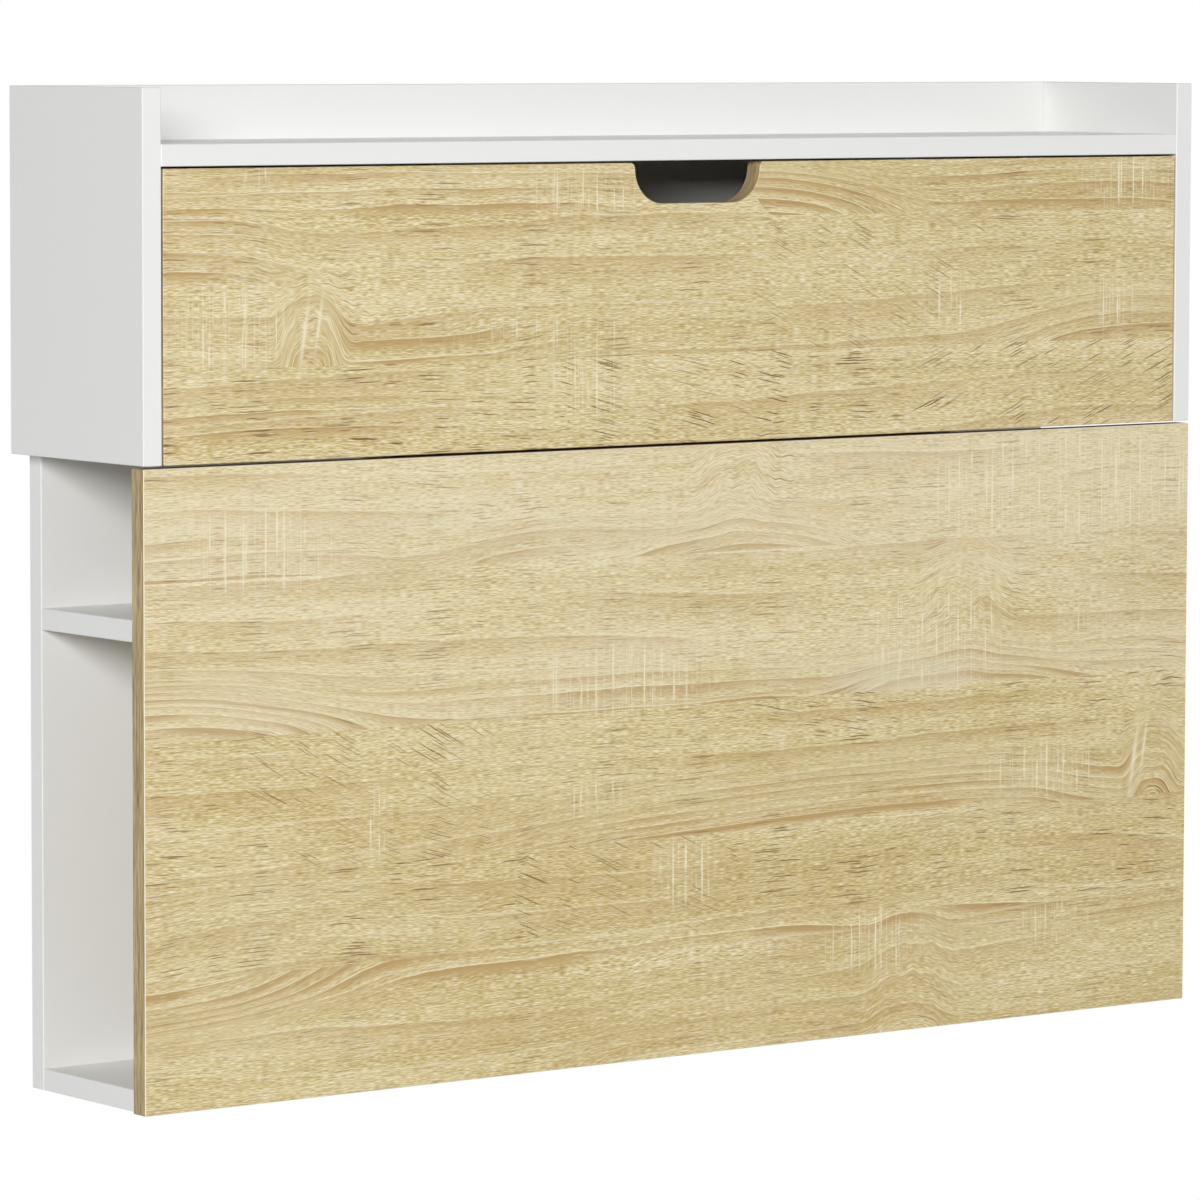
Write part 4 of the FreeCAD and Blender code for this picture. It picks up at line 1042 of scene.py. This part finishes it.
def lay_floor(look):
    """Lay a round pale floor that fades into the white background at its rim."""
    disc = bmesh.new()
    bmesh.ops.create_circle(disc, cap_ends=True, segments=FLOOR_SEGMENTS, radius=look.floor_radius)
    level = CAD_BOX[0].z - look.desk_height
    bmesh.ops.translate(disc, verts=disc.verts, vec=(0, 0, level))
    mesh = bpy.data.meshes.new("floor")
    disc.to_mesh(mesh)
    disc.free()
    floor = bpy.data.objects.new("floor", mesh)
    bpy.context.scene.collection.objects.link(floor)
    r = new_recipe("pale_floor")
    (x, y, _), _ = r.coordinates()
    distance = (x * x + y * y).math("SQRT") * MM
    fade = distance.rise(*(look.floor_radius * share for share in FLOOR_FADE))
    washed = (FLOOR_WASH + (1 - FLOOR_WASH) * fade) * light_path_white(r)
    white = FLOOR_WHITE + r.shift(x, y, FLOOR_MOTTLE)
    paint = r.node("ShaderNodeBsdfPrincipled", inputs={
        "Base Color": r.join(white, white, white), "Roughness": 0.8})
    glow = r.node("ShaderNodeEmission", inputs={"Color": (1, 1, 1), "Strength": 1})
    mesh.materials.append(r.finish(r.node("ShaderNodeMixShader", inputs={0: washed, 1: paint, 2: glow})))


def paint_sky(scene, look):
    """Give the world a soft white light, and a pure white where it is seen."""
    scene.world = bpy.data.worlds.new("studio_sky")
    r = Recipe(scene.world)
    lit = r.node("ShaderNodeBackground", inputs={"Color": (1, 1, 1), "Strength": look.sky})
    seen = r.node("ShaderNodeBackground", inputs={"Color": (1, 1, 1), "Strength": 1})
    r.finish(r.node("ShaderNodeMixShader", inputs={0: light_path_white(r), 1: lit, 2: seen}),
             kind="ShaderNodeOutputWorld")


def hang_lamp(name, place, size, power):
    """Hang a square soft lamp that points at the middle of the desk."""
    lamp = bpy.data.lights.new(name, "AREA")
    lamp.shape = "SQUARE"
    lamp.size = size
    lamp.energy = power
    holder = bpy.data.objects.new(name, lamp)
    bpy.context.scene.collection.objects.link(holder)
    holder.visible_camera = False
    aim = (CAD_BOX[0] + CAD_BOX[1]) / 2 - Vector(place)
    holder.matrix_world = Matrix.Translation(place) @ aim.to_track_quat("-Z", "Y").to_matrix().to_4x4()


# ---------------------------------------------------------------- panel and registration
STEPS = (DressBoards, DressFronts, DressFittings, HingeScrews, BracketScrews, GuideScrews, CatchScrews,
         CamLocks, CarcassScrews, BuildStudio)
GROUPS = {"walldesk_boards": BoardLook, "walldesk_oak": OakLook, "walldesk_fittings": FittingLook,
          "walldesk_sizes": FittingSizes, "walldesk_studio": StudioLook}


class WallDeskPanel(bpy.types.Panel):
    """Lists the steps that dress the desk, and what can be changed"""
    bl_idname = "WALLDESK_PT_steps"
    bl_label = "Fold-down wall desk"
    bl_space_type = "VIEW_3D"
    bl_region_type = "UI"
    bl_category = "Wall desk"

    def draw(self, context):
        for step in STEPS:
            self.layout.operator(step.bl_idname)
        for name, group in GROUPS.items():
            box = self.layout.box()
            box.label(text=group.__doc__)
            for key in group.__annotations__:
                box.prop(getattr(context.scene, name), key)


def register():
    for group in (*GROUPS.values(), *STEPS, WallDeskPanel):
        bpy.utils.register_class(group)
    for name, group in GROUPS.items():
        setattr(bpy.types.Scene, name, PointerProperty(type=group))


def unregister():
    for name in GROUPS:
        delattr(bpy.types.Scene, name)
    for group in reversed((*GROUPS.values(), *STEPS, WallDeskPanel)):
        bpy.utils.unregister_class(group)


def main():
    register()
    bpy.ops.walldesk.dress_boards()
    bpy.ops.walldesk.dress_fronts()
    bpy.ops.walldesk.dress_fittings()
    bpy.ops.walldesk.hinge_screws()
    bpy.ops.walldesk.bracket_screws()
    bpy.ops.walldesk.guide_screws()
    bpy.ops.walldesk.catch_screws()
    bpy.ops.walldesk.cam_locks()
    bpy.ops.walldesk.carcass_screws()
    bpy.ops.walldesk.build_studio()


if __name__ == "__main__":
    main()
